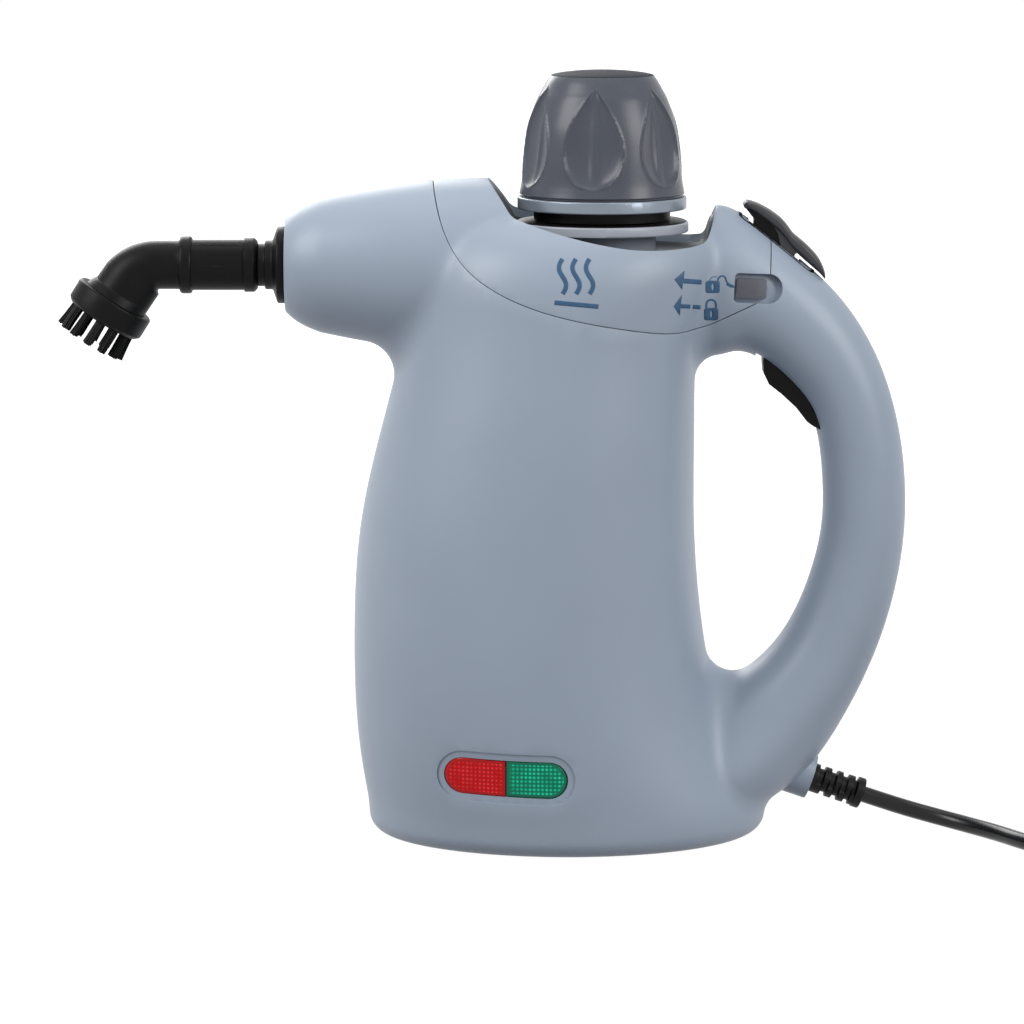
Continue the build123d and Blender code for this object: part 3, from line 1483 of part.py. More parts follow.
with BuildPart() as bezel_half:
    loft(handle_sections(-bezel_thickness))
    add(box_between((bezel_front_reach, -bezel_width / 2, lever_opening_low_height),
                    (bezel_back_reach, 0, body_height + overrun)), mode=Mode.INTERSECT)
    loft(handle_sections(-bezel_gap), mode=Mode.SUBTRACT)
    add(box_between((lever_opening_front_reach, -lever_opening_width / 2, lever_opening_low_height),
                    (lever_opening_back_reach, overrun, body_height + overrun)), mode=Mode.SUBTRACT)
with BuildPart() as lever_bezel:
    add(bezel_half.part)
    add(mirror(bezel_half.part, about=Plane.XZ))
lever_bezel.part.label = "lever_bezel"
export_step(lever_bezel.part, "parts/lever_bezel.step")

with BuildPart() as lever_pin:
    add(cross_cylinder(lever_pivot_reach, lever_pivot_height, pin_radius,
                       -lever_pin_length / 2, lever_pin_length / 2))
lever_pin.part.label = "lever_pin"
export_step(lever_pin.part, "parts/lever_pin.step")

lever_spring_start = lever_pivot_reach + lever_spring_offset + fit_gap
with BuildPart() as lever_spring:
    spring_plane = Plane(origin=(lever_spring_start, 0, lever_spring_height), x_dir=(0, 1, 0),
                         z_dir=(1, 0, 0))
    add(coil_spring(spring_plane, lever_spring_radius, lever_spring_wire,
                    lever_spring_length - 2 * fit_gap, lever_spring_turns))
lever_spring.part.label = "lever_spring"
export_step(lever_spring.part, "parts/lever_spring.step")

# Lock slider
slider_centre = slot_reach + slider_start_offset
slider_place = Vector(slider_centre, -side_inner_depth, slot_height)
slider_plane = spun(Plane(origin=slider_place, x_dir=(1, 0, 0), z_dir=(0, -1, 0)), slot_tilt)
with BuildPart() as slider_block:
    with BuildSketch(slider_plane):
        RectangleRounded(slider_length, slider_width, slider_corner_round)
    extrude(amount=body_width)
with BuildPart() as slider_core:
    loft(handle_sections(slider_inset))
    add(slider_block.part, mode=Mode.INTERSECT)
    loft(handle_sections(slot_depth - slider_lift), mode=Mode.SUBTRACT)
with BuildPart() as slider_finger:
    add(cross_cylinder(slider_centre, slot_height, slider_finger_radius, -body_width, -slider_finger_inner))
    add(loft_part(handle_sections(slider_inset + slider_lift)), mode=Mode.INTERSECT)
with BuildPart() as lock_slider:
    add(slider_core.part)
    add(slider_finger.part)
lock_slider.part.label = "lock_slider"
export_step(lock_slider.part, "parts/lock_slider.step")

# Lamps
with BuildPart() as lens_form:
    loft(body_sections(lens_inset))
    loft(body_sections(lens_inset + lens_thickness), mode=Mode.SUBTRACT)
    add(lamp_hole, mode=Mode.INTERSECT)
with BuildPart() as lamp_lens_red:
    add(lens_form.part)
    add(box_between((lamp_centre_reach - body_length, -body_width, 0),
                    (lamp_centre_reach - lens_split_gap / 2, 0, body_height)), mode=Mode.INTERSECT)
lamp_lens_red.part.label = "lamp_lens_red"
export_step(lamp_lens_red.part, "parts/lamp_lens_red.step")

with BuildPart() as lamp_lens_green:
    add(lens_form.part)
    add(box_between((lamp_centre_reach + lens_split_gap / 2, -body_width, 0),
                    (lamp_centre_reach + body_length, 0, body_height)), mode=Mode.INTERSECT)
lamp_lens_green.part.label = "lamp_lens_green"
export_step(lamp_lens_green.part, "parts/lamp_lens_green.step")

with BuildPart() as lamp_holder:
    loft(body_sections(holder_front_inset))
    add(side_pill(lamp_centre_reach, lamp_height, lamp_length + 2 * holder_margin,
                  lamp_width + 2 * holder_margin, lamp_tilt, -body_width, -holder_back_depth),
        mode=Mode.INTERSECT)
    add(without(side_pill(lamp_centre_reach, lamp_height, lamp_length - 2 * holder_wall,
                          lamp_width - 2 * holder_wall, lamp_tilt, -body_width, -holder_cavity_depth),
                box_between((lamp_centre_reach - holder_wall / 2, -body_width, 0),
                            (lamp_centre_reach + holder_wall / 2, 0, body_height))), mode=Mode.SUBTRACT)
lamp_holder.part.label = "lamp_holder"
export_step(lamp_holder.part, "parts/lamp_holder.step")


def neon_lamp(side):
    centre = lamp_centre_reach + side * bulb_spacing / 2
    depth = holder_cavity_depth + bulb_radius + part_gap
    return along_cylinder((centre - bulb_length / 2, -depth, lamp_height), (1, 0, 0), bulb_radius,
                          bulb_length)


with BuildPart() as red_lamp:
    add(neon_lamp(-1))
    fillet(red_lamp.edges(), bulb_radius / 2)
red_lamp.part.label = "red_lamp"
export_step(red_lamp.part, "parts/red_lamp.step")

with BuildPart() as green_lamp:
    add(neon_lamp(1))
    fillet(green_lamp.edges(), bulb_radius / 2)
green_lamp.part.label = "green_lamp"
export_step(green_lamp.part, "parts/green_lamp.step")

# Strain relief, inner cord, clamp, screws and terminal block
relief_back = -relief_flange_inset - relief_flange_thickness
relief_tip = boss_face + boss_direction * relief_length
with BuildPart() as strain_relief:
    add(along_cylinder(boss_face + boss_direction * relief_back, boss_direction, relief_flange_radius,
                       relief_flange_thickness))
    add(along_cylinder(boss_face + boss_direction * relief_back, boss_direction, relief_bore - fit_gap,
                       -relief_back))
    add(along_cylinder(boss_face + boss_direction * relief_back, boss_direction, relief_core_radius,
                       relief_length - relief_back))
    ring_spacing = relief_length / relief_ring_count
    for index in range(relief_ring_count):
        low = relief_length - ring_spacing * (index + relief_ring_share)
        add(along_cylinder(boss_face + boss_direction * low, boss_direction, relief_bore,
                           ring_spacing * relief_ring_share))
    add(along_cylinder(boss_face - boss_direction * overrun, boss_direction, cord_radius + fit_gap,
                       overrun * 2), mode=Mode.SUBTRACT)
strain_relief.part.label = "strain_relief"
export_step(strain_relief.part, "parts/strain_relief.step")

lead_end = boss_face - boss_direction * lead_end_distance
with BuildPart() as cord_lead:
    add(along_cylinder(lead_end, boss_direction, cord_radius, lead_end_distance + relief_length))
cord_lead.part.label = "cord_lead"
export_step(cord_lead.part, "parts/cord_lead.step")

clamp_back_plane = Plane(origin=clamp_centre, x_dir=boss_direction, z_dir=(0, 1, 0))
with BuildPart() as cord_clamp:
    with BuildSketch(clamp_back_plane.offset(clamp_half_gap)):
        Rectangle(clamp_width, clamp_length)
    extrude(amount=clamp_thickness)
    add(along_cylinder(clamp_centre - boss_direction * clamp_width, boss_direction,
                       cord_radius + fit_gap, clamp_width * 2), mode=Mode.SUBTRACT)
    for side in (-1, 1):
        place = clamp_centre + clamp_across * (side * clamp_screw_spacing / 2)
        add(cross_cylinder(place.X, place.Z, clamp_screw_radius + fit_gap, 0, body_width), mode=Mode.SUBTRACT)
cord_clamp.part.label = "cord_clamp"
export_step(cord_clamp.part, "parts/cord_clamp.step")

clamp_top = clamp_half_gap + clamp_thickness
with BuildPart() as clamp_screws:
    for side in (-1, 1):
        place = clamp_centre + clamp_across * (side * clamp_screw_spacing / 2)
        add(cross_cylinder(place.X, place.Z, clamp_screw_radius, -clamp_screw_depth, clamp_top))
        add(cross_cylinder(place.X, place.Z, clamp_screw_radius * screw_head_ratio, clamp_top,
                           clamp_top + screw_head_thickness))
clamp_screws.part.label = "clamp_screws"
export_step(clamp_screws.part, "parts/clamp_screws.step")

with BuildPart() as housing_screws:
    for reach, height in boss_places:
        add(cross_cylinder(reach, height, screw_pilot_radius - fit_gap,
                           screw_head_depth - housing_screw_length, screw_head_depth))
        add(cross_cylinder(reach, height, screw_head_pocket_radius - part_gap, screw_head_depth,
                           screw_head_depth + screw_head_thickness))
housing_screws.part.label = "housing_screws"
export_step(housing_screws.part, "parts/housing_screws.step")

terminal_right = terminal_reach + terminal_length / 2
terminal_middle = terminal_low_height + terminal_height / 2
with BuildPart() as terminal_block:
    add(box_between((terminal_reach - terminal_length / 2, -terminal_width / 2, terminal_low_height),
                    (terminal_right, terminal_width / 2, terminal_low_height + terminal_height)))
    for index in range(lead_count):
        across = (index - (lead_count - 1) / 2) * lead_end_spacing
        add(along_cylinder((terminal_right - lead_end_spacing, across, terminal_middle), (1, 0, 0),
                           lead_radius + fit_gap, lead_end_spacing * 2), mode=Mode.SUBTRACT)
        add(along_cylinder((terminal_reach, across, terminal_middle), (0, 0, 1), lead_radius * 2,
                           terminal_height), mode=Mode.SUBTRACT)
terminal_block.part.label = "terminal_block"
export_step(terminal_block.part, "parts/terminal_block.step")

with BuildPart() as supply_wires:
    for index in range(lead_count):
        start_y = (index - (lead_count - 1) / 2) * lead_start_spacing
        end_y = (index - (lead_count - 1) / 2) * lead_end_spacing
        with BuildLine() as wire_path:
            bend = Spline(lead_end - boss_direction * fit_gap + Vector(0, start_y, 0),
                          (terminal_right + lead_end_spacing / 4, end_y, terminal_middle),
                          tangents=(-boss_direction, (-1, 0, 0)))
            Line(bend @ 1, (terminal_right - lead_end_spacing + fit_gap, end_y, terminal_middle))
        with BuildSketch(Plane(origin=bend @ 0, z_dir=bend % 0)):
            Circle(lead_radius)
        sweep(path=wire_path.wire())
supply_wires.part.label = "supply_wires"
export_step(supply_wires.part, "parts/supply_wires.step")


# Free cord, coil, tail and plug
def bend_radii(points):
    """Arc radii for the turns of a route, each from its shorter run and its turning angle."""
    radii = []
    for before, corner, after in zip(points, points[1:], points[2:]):
        arriving = corner - before
        leaving = after - corner
        half_turn = math.radians(arriving.get_angle(leaving)) / 2
        radii.append(bend_share * min(arriving.length, leaving.length) / math.tan(half_turn))
    return radii


def route_length(points, radii):
    total = sum((b - a).length for a, b in zip(points, points[1:]))
    for before, corner, after, radius in zip(points, points[1:], points[2:], radii):
        turn = math.radians((corner - before).get_angle(after - corner))
        total += radius * turn - 2 * radius * math.tan(turn / 2)
    return total


def tube(points):
    """A round cord through a route with tangent arcs at its corners."""
    radii = bend_radii(points)
    with BuildPart() as cord:
        with BuildLine() as path:
            FilletPolyline(*points, radius=radii)
        with BuildSketch(Plane(origin=path.line @ 0, z_dir=path.line % 0)):
            Circle(cord_radius)
        sweep()
    expected = math.pi * cord_radius ** 2 * route_length(points, radii)
    print("bend radii", [round(radius, 1) for radius in radii])
    print("length", round(route_length(points, radii), 1),
          "volume share", round(cord.part.volume / expected, 4))
    return cord.part


coil_outer_radius = coil_inner_radius + coil_pitch / 2 * (coil_half_turns - 1)
coil_start = Vector(*cord_points[-1])


def coil_corners():
    """Ends of every half turn: in along the lower layer, up, and out along the upper one."""
    corners = [coil_start]
    side = 1
    across = coil_start.Y
    heights = [coil_start.Z, coil_start.Z + coil_layer_rise]
    radii = [coil_outer_radius - coil_pitch / 2 * index for index in range(coil_half_turns)]
    for radius in radii:
        across += side * 2 * radius
        corners.append(Vector(coil_start.X, across, heights[0]))
        side = -side
    across += side * (2 * coil_inner_radius - coil_pitch)
    corners.append(Vector(coil_start.X, across, heights[1]))
    side = -side
    for radius in reversed(radii):
        across += side * 2 * radius
        corners.append(Vector(coil_start.X, across, heights[1]))
        side = -side
    return corners


cord_route = [relief_tip] + [Vector(*point) for point in cord_points]
with BuildPart() as power_cord:
    add(tube(cord_route))
power_cord.part.label = "power_cord"
export_step(power_cord.part, "parts/power_cord.step")

corners = coil_corners()
with BuildPart() as power_cord_coil:
    with BuildLine() as coil_path:
        heading = Vector(1, 0, 0)
        for start, finish in zip(corners, corners[1:]):
            reach = (finish - start).length / 2
            middle = (start + finish) * 0.5 + heading * reach
            first = Edge.make_tangent_arc(start, heading, middle)
            second = Edge.make_tangent_arc(middle, first % 1, finish)
            add(first)
            add(second)
            heading = second % 1
    with BuildSketch(Plane(origin=corners[0], z_dir=(1, 0, 0))):
        Circle(cord_radius)
    sweep()
power_cord_coil.part.label = "power_cord_coil"
export_step(power_cord_coil.part, "parts/power_cord_coil.step")
coil_wire = coil_path.wire()
coil_length = coil_wire.length
print("coil length", round(coil_length, 1), "volume share",
      round(power_cord_coil.part.volume / (math.pi * cord_radius ** 2 * coil_length), 4))

tail_points = [corners[-1]]
for angle, run, rise in tail_runs:
    flat = math.sqrt(run ** 2 - rise ** 2)
    tail_points.append(tail_points[-1] + Vector(flat * math.cos(math.radians(angle)),
                                                flat * math.sin(math.radians(angle)), rise))
with BuildPart() as power_cord_end:
    add(tube(tail_points))
power_cord_end.part.label = "power_cord_end"
export_step(power_cord_end.part, "parts/power_cord_end.step")

# Least distance between stretches of the coil that lie side by side
samples = [coil_wire @ (index / coil_samples) for index in range(coil_samples + 1)]
skip = round(coil_samples * coil_inner_radius * 2 / coil_length)
least = min((a - b).length for i, a in enumerate(samples) for b in samples[i + skip:])
print("coil gap", round(least - 2 * cord_radius, 3))

plug_start = tail_points[-1]
plug_plane = Plane(origin=plug_start, x_dir=(0, 1, 0), z_dir=(1, 0, 0))
plug_face = plug_start.X + plug_relief_length + plug_body_length
with BuildPart() as plug_body:
    with BuildSketch(plug_plane):
        Circle(plug_relief_radius)
    with BuildSketch(plug_plane.offset(plug_relief_length)):
        Circle(plug_relief_radius * plug_relief_flare)
    loft()
    with BuildSketch(plug_plane.offset(plug_relief_length)):
        Ellipse(plug_half_width, plug_half_height)
    extrude(amount=plug_body_length)
    fillet(plug_body.edges().sort_by(Axis.X)[-1:], plug_body_round / 2)
    for side in (-1, 1):
        across = plug_start.Y + side * plug_pin_spacing / 2
        add(along_cylinder((plug_face - plug_pin_root, across, plug_start.Z), (1, 0, 0),
                           plug_pin_root_radius + fit_gap, plug_pin_root * 2), mode=Mode.SUBTRACT)
plug_body.part.label = "plug_body"
export_step(plug_body.part, "parts/plug_body.step")

with BuildPart() as plug_pins:
    for side in (-1, 1):
        across = plug_start.Y + side * plug_pin_spacing / 2
        add(along_cylinder((plug_face - plug_pin_root + fit_gap, across, plug_start.Z), (1, 0, 0),
                           plug_pin_root_radius, plug_pin_root))
        add(along_cylinder((plug_face + fit_gap, across, plug_start.Z), (1, 0, 0),
                           plug_pin_radius, plug_pin_length))
plug_pins.part.label = "plug_pins"
export_step(plug_pins.part, "parts/plug_pins.step")
free_length = sum(route_length(route, bend_radii(route)) for route in (cord_route, tail_points))
print("cord length", round(free_length + coil_length, 1))
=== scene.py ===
import json
import math
import random

import bmesh
import bpy
from mathutils import Matrix, Vector
from mathutils.bvhtree import BVHTree


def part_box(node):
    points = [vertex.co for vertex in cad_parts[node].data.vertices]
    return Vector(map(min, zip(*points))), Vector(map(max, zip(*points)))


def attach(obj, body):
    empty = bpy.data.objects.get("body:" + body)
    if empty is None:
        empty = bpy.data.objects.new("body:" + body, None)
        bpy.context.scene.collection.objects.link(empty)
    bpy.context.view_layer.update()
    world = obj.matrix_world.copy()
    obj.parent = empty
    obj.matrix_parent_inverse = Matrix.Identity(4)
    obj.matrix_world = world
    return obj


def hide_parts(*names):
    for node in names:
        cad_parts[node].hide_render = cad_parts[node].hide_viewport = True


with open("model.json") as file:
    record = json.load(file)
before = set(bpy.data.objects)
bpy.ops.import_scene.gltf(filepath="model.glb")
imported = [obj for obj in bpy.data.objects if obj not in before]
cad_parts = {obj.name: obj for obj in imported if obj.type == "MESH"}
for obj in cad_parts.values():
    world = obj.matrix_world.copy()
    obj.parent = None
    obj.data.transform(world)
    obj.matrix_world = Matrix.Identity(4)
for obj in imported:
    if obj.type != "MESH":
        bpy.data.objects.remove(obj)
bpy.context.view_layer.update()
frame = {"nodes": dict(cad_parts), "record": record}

# Units, the photograph's frame and the clearances of thin pieces
mm = 0.001
image_size = 1024
print_lift = 0.05 * mm
print_thickness = 0.04 * mm
ray_reach = 4.0
forwards = Vector((1, 0, 0))
sideways = Vector((0, 1, 0))

# Camera: where the photograph was taken from
camera_place = Vector((-0.0316, -1.650, 0.3601))
camera_fall = math.radians(8.47)
camera_lens = 165.4
camera_sensor = 36.0
camera_reach = 50

# Cord: exit, lying stretch, coil and tail, as its route is in the part
cord_radius = 2.9 * mm
cord_exit = (0.093565, 0.0, 0.012548)
loose_points = (
    (0.10587, 0.0, 0.00836), (0.1191, -0.0033, 0.0052), (0.1309, -0.0107, 0.0034),
    (0.1405, -0.0222, 0.0029), (0.1480, -0.0363, 0.0029), (0.1591, -0.0505, 0.0029),
    (0.1757, -0.0617, 0.0029), (0.1950, -0.0669, 0.0029), (0.2090, -0.0669, 0.0029))
coil_inner_radius = 23.5 * mm
coil_pitch = 6.35 * mm
coil_rise = 6.3 * mm
coil_half_turns = 8
coil_steps = 8
cord_smoothness = 6
cord_roundness = 5
tail_runs = ((180, 19.0, 0.0), (150, 19.0, -2.9), (120, 19.0, -2.7), (90, 19.0, 0.6),
             (60, 19.0, 3.0), (30, 19.0, 3.8), (0, 19.0, 0.0))


def camera_ray(column, row):
    """Direction from the camera through a pixel of the photograph."""
    half = image_size / 2
    slope = camera_sensor / camera_lens / image_size
    across = (column - half) * slope
    up = (half - row) * slope
    tilt = Matrix.Rotation(math.radians(90) - camera_fall, 3, "X")
    return (tilt @ Vector((across, up, -1))).normalized()


def new_object(name, data):
    """A new object in the scene."""
    item = bpy.data.objects.new(name, data)
    bpy.context.scene.collection.objects.link(item)
    return item


def make_camera():
    data = bpy.data.cameras.new("camera")
    data.lens = camera_lens
    data.sensor_width = camera_sensor
    data.clip_end = camera_reach
    camera = new_object("camera", data)
    camera.location = camera_place
    camera.rotation_euler = (math.radians(90) - camera_fall, 0, 0)
    bpy.context.scene.camera = camera


def coil_points():
    """Points round the coil: in along the lower layer, up in one half turn, and out again."""
    start = Vector(loose_points[-1])
    steps_in = [(coil_inner_radius + coil_pitch / 2 * (coil_half_turns - 1 - index), 0.0)
                for index in range(coil_half_turns)]
    climb = [(coil_inner_radius - coil_pitch / 2, coil_rise)]
    half_turns = steps_in + climb + [(radius, 0.0) for radius, _ in reversed(steps_in)]
    points = []
    across, height, side = start.y, start.z, 1
    for radius, rise in half_turns:
        centre = across + side * radius
        reach = side * radius / math.cos(math.pi / coil_steps / 2)
        for step in range(coil_steps):
            share = (step + 0.5) / coil_steps
            turn = math.pi * share
            points.append(Vector((start.x + reach * math.sin(turn), centre - reach * math.cos(turn),
                                  height + rise * share)))
        across += side * 2 * radius
        height += rise
        side = -side
    return points, Vector((start.x, across, height))


def tail_points(start):
    """Points of the end of the cord, from the coil down to the plug."""
    points = [start]
    for angle, run, rise in tail_runs:
        flat = math.sqrt(run ** 2 - rise ** 2)
        step = Vector((flat * math.cos(math.radians(angle)), flat * math.sin(math.radians(angle)), rise))
        points.append(points[-1] + step * mm)
    return points


def make_cord():
    around, coil_end = coil_points()
    route = [Vector(cord_exit)] + [Vector(point) for point in loose_points] + around + tail_points(coil_end)
    data = bpy.data.curves.new("mains_cord", "CURVE")
    data.dimensions = "3D"
    data.resolution_u = cord_smoothness
    data.bevel_depth = 1.0
    data.bevel_resolution = cord_roundness
    data.use_fill_caps = True
    spline = data.splines.new("NURBS")
    spline.points.add(len(route) - 1)
    for point, place in zip(spline.points, route):
        point.co = (*place, 1)
        point.radius = cord_radius
    spline.order_u = 3
    spline.use_endpoint_u = True
    cord = new_object("mains_cord", data)
    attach(cord, "housing")
    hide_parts("power_cord", "power_cord_coil", "power_cord_end")
    data.materials.append(materials["cord"])


# Materials
noise_middle = (0.25, 0.75)
bump_strength = 0.6
coat_roughness = 0.12
prism_pitch = 1.45 * mm


def linear(red, green, blue):
    """A colour as it is seen, from 0 to 255, as the shader needs it."""
    values = []
    for value in (red, green, blue):
        share = value / 255
        values.append(share / 12.92 if share <= 0.04045 else ((share + 0.055) / 1.055) ** 2.4)
    return (*values, 1.0)


def new_material(name):
    material = bpy.data.materials.new(name)
    material.use_nodes = True
    return material, material.node_tree, material.node_tree.nodes["Principled BSDF"]


def object_place(tree):
    """The place on a piece, in the piece's own space."""
    return tree.nodes.new("ShaderNodeTexCoord").outputs["Object"]


def math_node(tree, operation, *values):
    """What a math node makes of numbers and of other nodes' outputs."""
    node = tree.nodes.new("ShaderNodeMath")
    node.operation = operation
    for socket, value in zip(node.inputs, values):
        if isinstance(value, float):
            socket.default_value = value
        else:
            tree.links.new(value, socket)
    return node.outputs[0]


def noise(tree, scale, detail=3.0, stretch=None):
    """A noise that lies in the piece's own space, with its scale in cells to a metre."""
    texture = tree.nodes.new("ShaderNodeTexNoise")
    texture.inputs["Scale"].default_value = scale
    texture.inputs["Detail"].default_value = detail
    source = object_place(tree)
    if stretch:
        mapping = tree.nodes.new("ShaderNodeMapping")
        mapping.inputs["Scale"].default_value = stretch
        tree.links.new(source, mapping.inputs["Vector"])
        source = mapping.outputs["Vector"]
    tree.links.new(source, texture.inputs["Vector"])
    return texture.outputs["Fac"]


def ramp(tree, factor, stops):
    """Colours along a factor, from pairs of place and colour."""
    node = tree.nodes.new("ShaderNodeValToRGB")
    elements = node.color_ramp.elements
    elements[0].position, elements[0].color = stops[0]
    elements[1].position, elements[1].color = stops[-1]
    for place, colour in stops[1:-1]:
        elements.new(place).color = colour
    tree.links.new(factor, node.inputs["Fac"])
    return node.outputs["Color"]


def map_range(tree, value, old, new, interpolation="LINEAR"):
    """A value mapped from one pair of numbers to another."""
    node = tree.nodes.new("ShaderNodeMapRange")
    node.interpolation_type = interpolation
    for name, number in zip(("From Min", "From Max", "To Min", "To Max"), (*old, *new)):
        node.inputs[name].default_value = number
    tree.links.new(value, node.inputs["Value"])
    return node.outputs["Result"]


def span(tree, factor, low, high):
    """The middle half of a noise mapped between two numbers."""
    return map_range(tree, factor, noise_middle, (low, high))


def bump(tree, height, depth):
    node = tree.nodes.new("ShaderNodeBump")
    node.inputs["Distance"].default_value = depth
    node.inputs["Strength"].default_value = bump_strength
    tree.links.new(height, node.inputs["Height"])
    return node.outputs["Normal"]


def shade(colour, share):
    """A colour made darker or lighter by a share."""
    return tuple(min(1.0, value * (1 + share)) for value in colour[:3]) + (1.0,)


def surface(name, colour, spread, cloud, roughness, rough_spread, grain, depth, specular, metallic=0.0,
            coat=0.0, stretch=None):
    """A moulded or worked surface: cloudy colour, uneven gloss and a fine grain in relief."""
    material, tree, shader = new_material(name)
    clouds = noise(tree, cloud, 4.0)
    fine = noise(tree, grain, 2.0, stretch)
    stops = ((0.30, shade(colour, -spread)), (0.70, shade(colour, spread)))
    tree.links.new(ramp(tree, clouds, stops), shader.inputs["Base Color"])
    tree.links.new(span(tree, fine, roughness - rough_spread, roughness + rough_spread),
                   shader.inputs["Roughness"])
    tree.links.new(bump(tree, fine, depth * mm), shader.inputs["Normal"])
    shader.inputs["Metallic"].default_value = metallic
    shader.inputs["Specular IOR Level"].default_value = specular
    shader.inputs["Coat Weight"].default_value = coat
    shader.inputs["Coat Roughness"].default_value = coat_roughness
    return material


def painted_glint_rows(tree):
    """One at the middle of each prism point of the lens and nought between them, for painting glints on the
    points.
    """
    parts = tree.nodes.new("ShaderNodeSeparateXYZ")
    tree.links.new(object_place(tree), parts.inputs[0])
    waves = [math_node(tree, "SINE", math_node(tree, "MULTIPLY", parts.outputs[axis], math.pi / prism_pitch))
             for axis in ("X", "Z")]
    return math_node(tree, "ABSOLUTE", math_node(tree, "MULTIPLY", *waves))


def lens_material(name, painted_shade_colour, middle, light):
    """A clear coloured lens, with painted glints on its prism points and painted shade between them, in
    rows.
    """
    material, tree, shader = new_material(name)
    uneven = span(tree, noise(tree, 260.0, 2.0), 0.55, 1.15)
    rows = math_node(tree, "MULTIPLY", painted_glint_rows(tree), uneven)
    # Painted shade between the points, the lens's own colour on their flanks and a painted glint at their
    # tips
    stops = ((0.10, painted_shade_colour), (0.55, middle), (0.95, light))
    tree.links.new(ramp(tree, rows, stops), shader.inputs["Base Color"])
    tree.links.new(span(tree, noise(tree, 900.0), 0.12, 0.24), shader.inputs["Roughness"])
    shader.inputs["Specular IOR Level"].default_value = 0.16
    return material


# For each slot: material, colour as seen, its spread and clouds to a metre, roughness and its spread,
# grains to a metre and their depth in millimetres, specular, and for some metallic, coat and stretch
finishes = {
    "housing": ("housing_plastic", (146, 157, 172), 0.025, 30, 0.42, 0.04, 2400, 0.012, 0.42),
    "tray": ("tray_plastic", (70, 77, 85), 0.1, 60, 0.5, 0.06, 1800, 0.03, 0.3),
    "collar": ("collar_plastic", (160, 165, 175), 0.04, 80, 0.35, 0.06, 1800, 0.012, 0.5),
    "cap_grip": ("cap_plastic", (74, 78, 87), 0.05, 70, 0.29, 0.04, 2600, 0.006, 0.3),
    # The cap's top face: a darker colour that is painted shade on the top
    "cap_disc": ("cap_disc_plastic", (50, 52, 58), 0.05, 70, 0.6, 0.04, 2600, 0.006, 0.04),
    "cap_ring": ("ring_plastic", (130, 140, 151), 0.04, 90, 0.32, 0.06, 2200, 0.01, 0.5, 0.35),
    "black_plastic": ("black_plastic", (9, 9, 10), 0.2, 120, 0.42, 0.06, 2000, 0.02, 0.12),
    "lever_plastic": ("lever_plastic", (58, 58, 61), 0.08, 160, 0.36, 0.05, 2200, 0.012, 0.3),
    "slider": ("slider_plastic", (88, 90, 97), 0.12, 160, 0.45, 0.06, 1800, 0.03, 0.35),
    "aluminium": ("aluminium", (184, 186, 190), 0.06, 45, 0.38, 0.06, 900, 0.03, 0.5, 1.0, 0.0, (1, 1, 12)),
    "steel": ("steel", (160, 162, 165), 0.05, 45, 0.28, 0.06, 1500, 0.01, 0.5, 1.0),
    "brass": ("brass", (196, 164, 96), 0.08, 45, 0.3, 0.06, 1400, 0.012, 0.5, 1.0),
    "rubber": ("relief_rubber", (12, 12, 13), 0.18, 150, 0.42, 0.08, 1800, 0.04, 0.18),
    "silicone": ("silicone", (148, 66, 50), 0.08, 45, 0.55, 0.06, 1800, 0.02, 0.5),
    "lens_red_rim": ("red_lens_rim", (176, 4, 14), 0.1, 45, 0.16, 0.06, 1800, 0.004, 0.16, 0.0, 0.12),
    "lens_green_rim": ("green_lens_rim", (0, 108, 80), 0.1, 45, 0.16, 0.06, 1800, 0.004, 0.16, 0.0, 0.12),
    "lamp_glass": ("lamp_glass", (236, 206, 176), 0.05, 45, 0.12, 0.06, 1800, 0.005, 0.5, 0.0, 0.6),
    "inner_white": ("inner_white", (214, 214, 208), 0.03, 45, 0.5, 0.06, 1800, 0.03, 0.5),
    "bristle": ("bristle_nylon", (10, 10, 11), 0.25, 400, 0.4, 0.06, 3000, 0.02, 0.16),
    "cord": ("cord_sheath", (9, 9, 10), 0.15, 90, 0.25, 0.05, 1500, 0.015, 0.34),
    "blue_plastic": ("mark_blue", (50, 84, 116), 0.1, 500, 0.45, 0.06, 3000, 0.008, 0.35),
}
# For each lens: material, and the colours for the painted shade between the prism points, for their flanks
# and for the painted glints at their tips
lens_finishes = {
    "lens_red": ("red_lens", (182, 3, 12), (226, 8, 20), (255, 70, 72)),
    "lens_green": ("green_lens", (0, 116, 86), (0, 168, 128), (44, 222, 176)),
}


def make_materials():
    """One material for each slot of the record, and those that dress a part of a piece."""
    made = {}
    for slot, (name, colour, *finish) in finishes.items():
        made[slot] = surface(name, linear(*colour), *finish)
    for slot, (name, *colours) in lens_finishes.items():
        made[slot] = lens_material(name, *(linear(*colour) for colour in colours))
    return made


materials = make_materials()


# Mesh helpers
def mesh_object(name, vertices, faces, body, slot, sharp, dress=None):
    """A mesh piece that rides on a body, in its slot's material or in another."""
    data = bpy.data.meshes.new(name)
    data.from_pydata(vertices, [], faces)
    grid = bmesh.new()
    grid.from_mesh(data)
    bmesh.ops.recalc_face_normals(grid, faces=grid.faces)
    grid.to_mesh(data)
    grid.free()
    data.polygons.foreach_set("use_smooth", [True] * len(data.polygons))
    data.set_sharp_from_angle(angle=math.radians(sharp))
    data.materials.append(materials[dress or slot])
    piece = new_object(name, data)
    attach(piece, body)
    return piece


def dress_faces(piece, dress, chosen):
    """The faces of a piece that pass a test take another material."""
    piece.data.materials.append(materials[dress])
    for face in piece.data.polygons:
        if chosen(face):
            face.material_index = 1


def ring_faces(rows, columns, closed_rows=False):
    """Quads between rows of points that each close on themselves."""
    faces = []
    for row in range(rows if closed_rows else rows - 1):
        below = row * columns
        above = ((row + 1) % rows) * columns
        for column in range(columns):
            after = (column + 1) % columns
            faces.append((below + column, below + after, above + after, above + column))
    return faces


def tube_faces(rows, columns):
    """Quads along a tube, and a face over each end."""
    ends = [tuple(range(start, start + columns)) for start in (0, (rows - 1) * columns)]
    return ring_faces(rows, columns) + ends


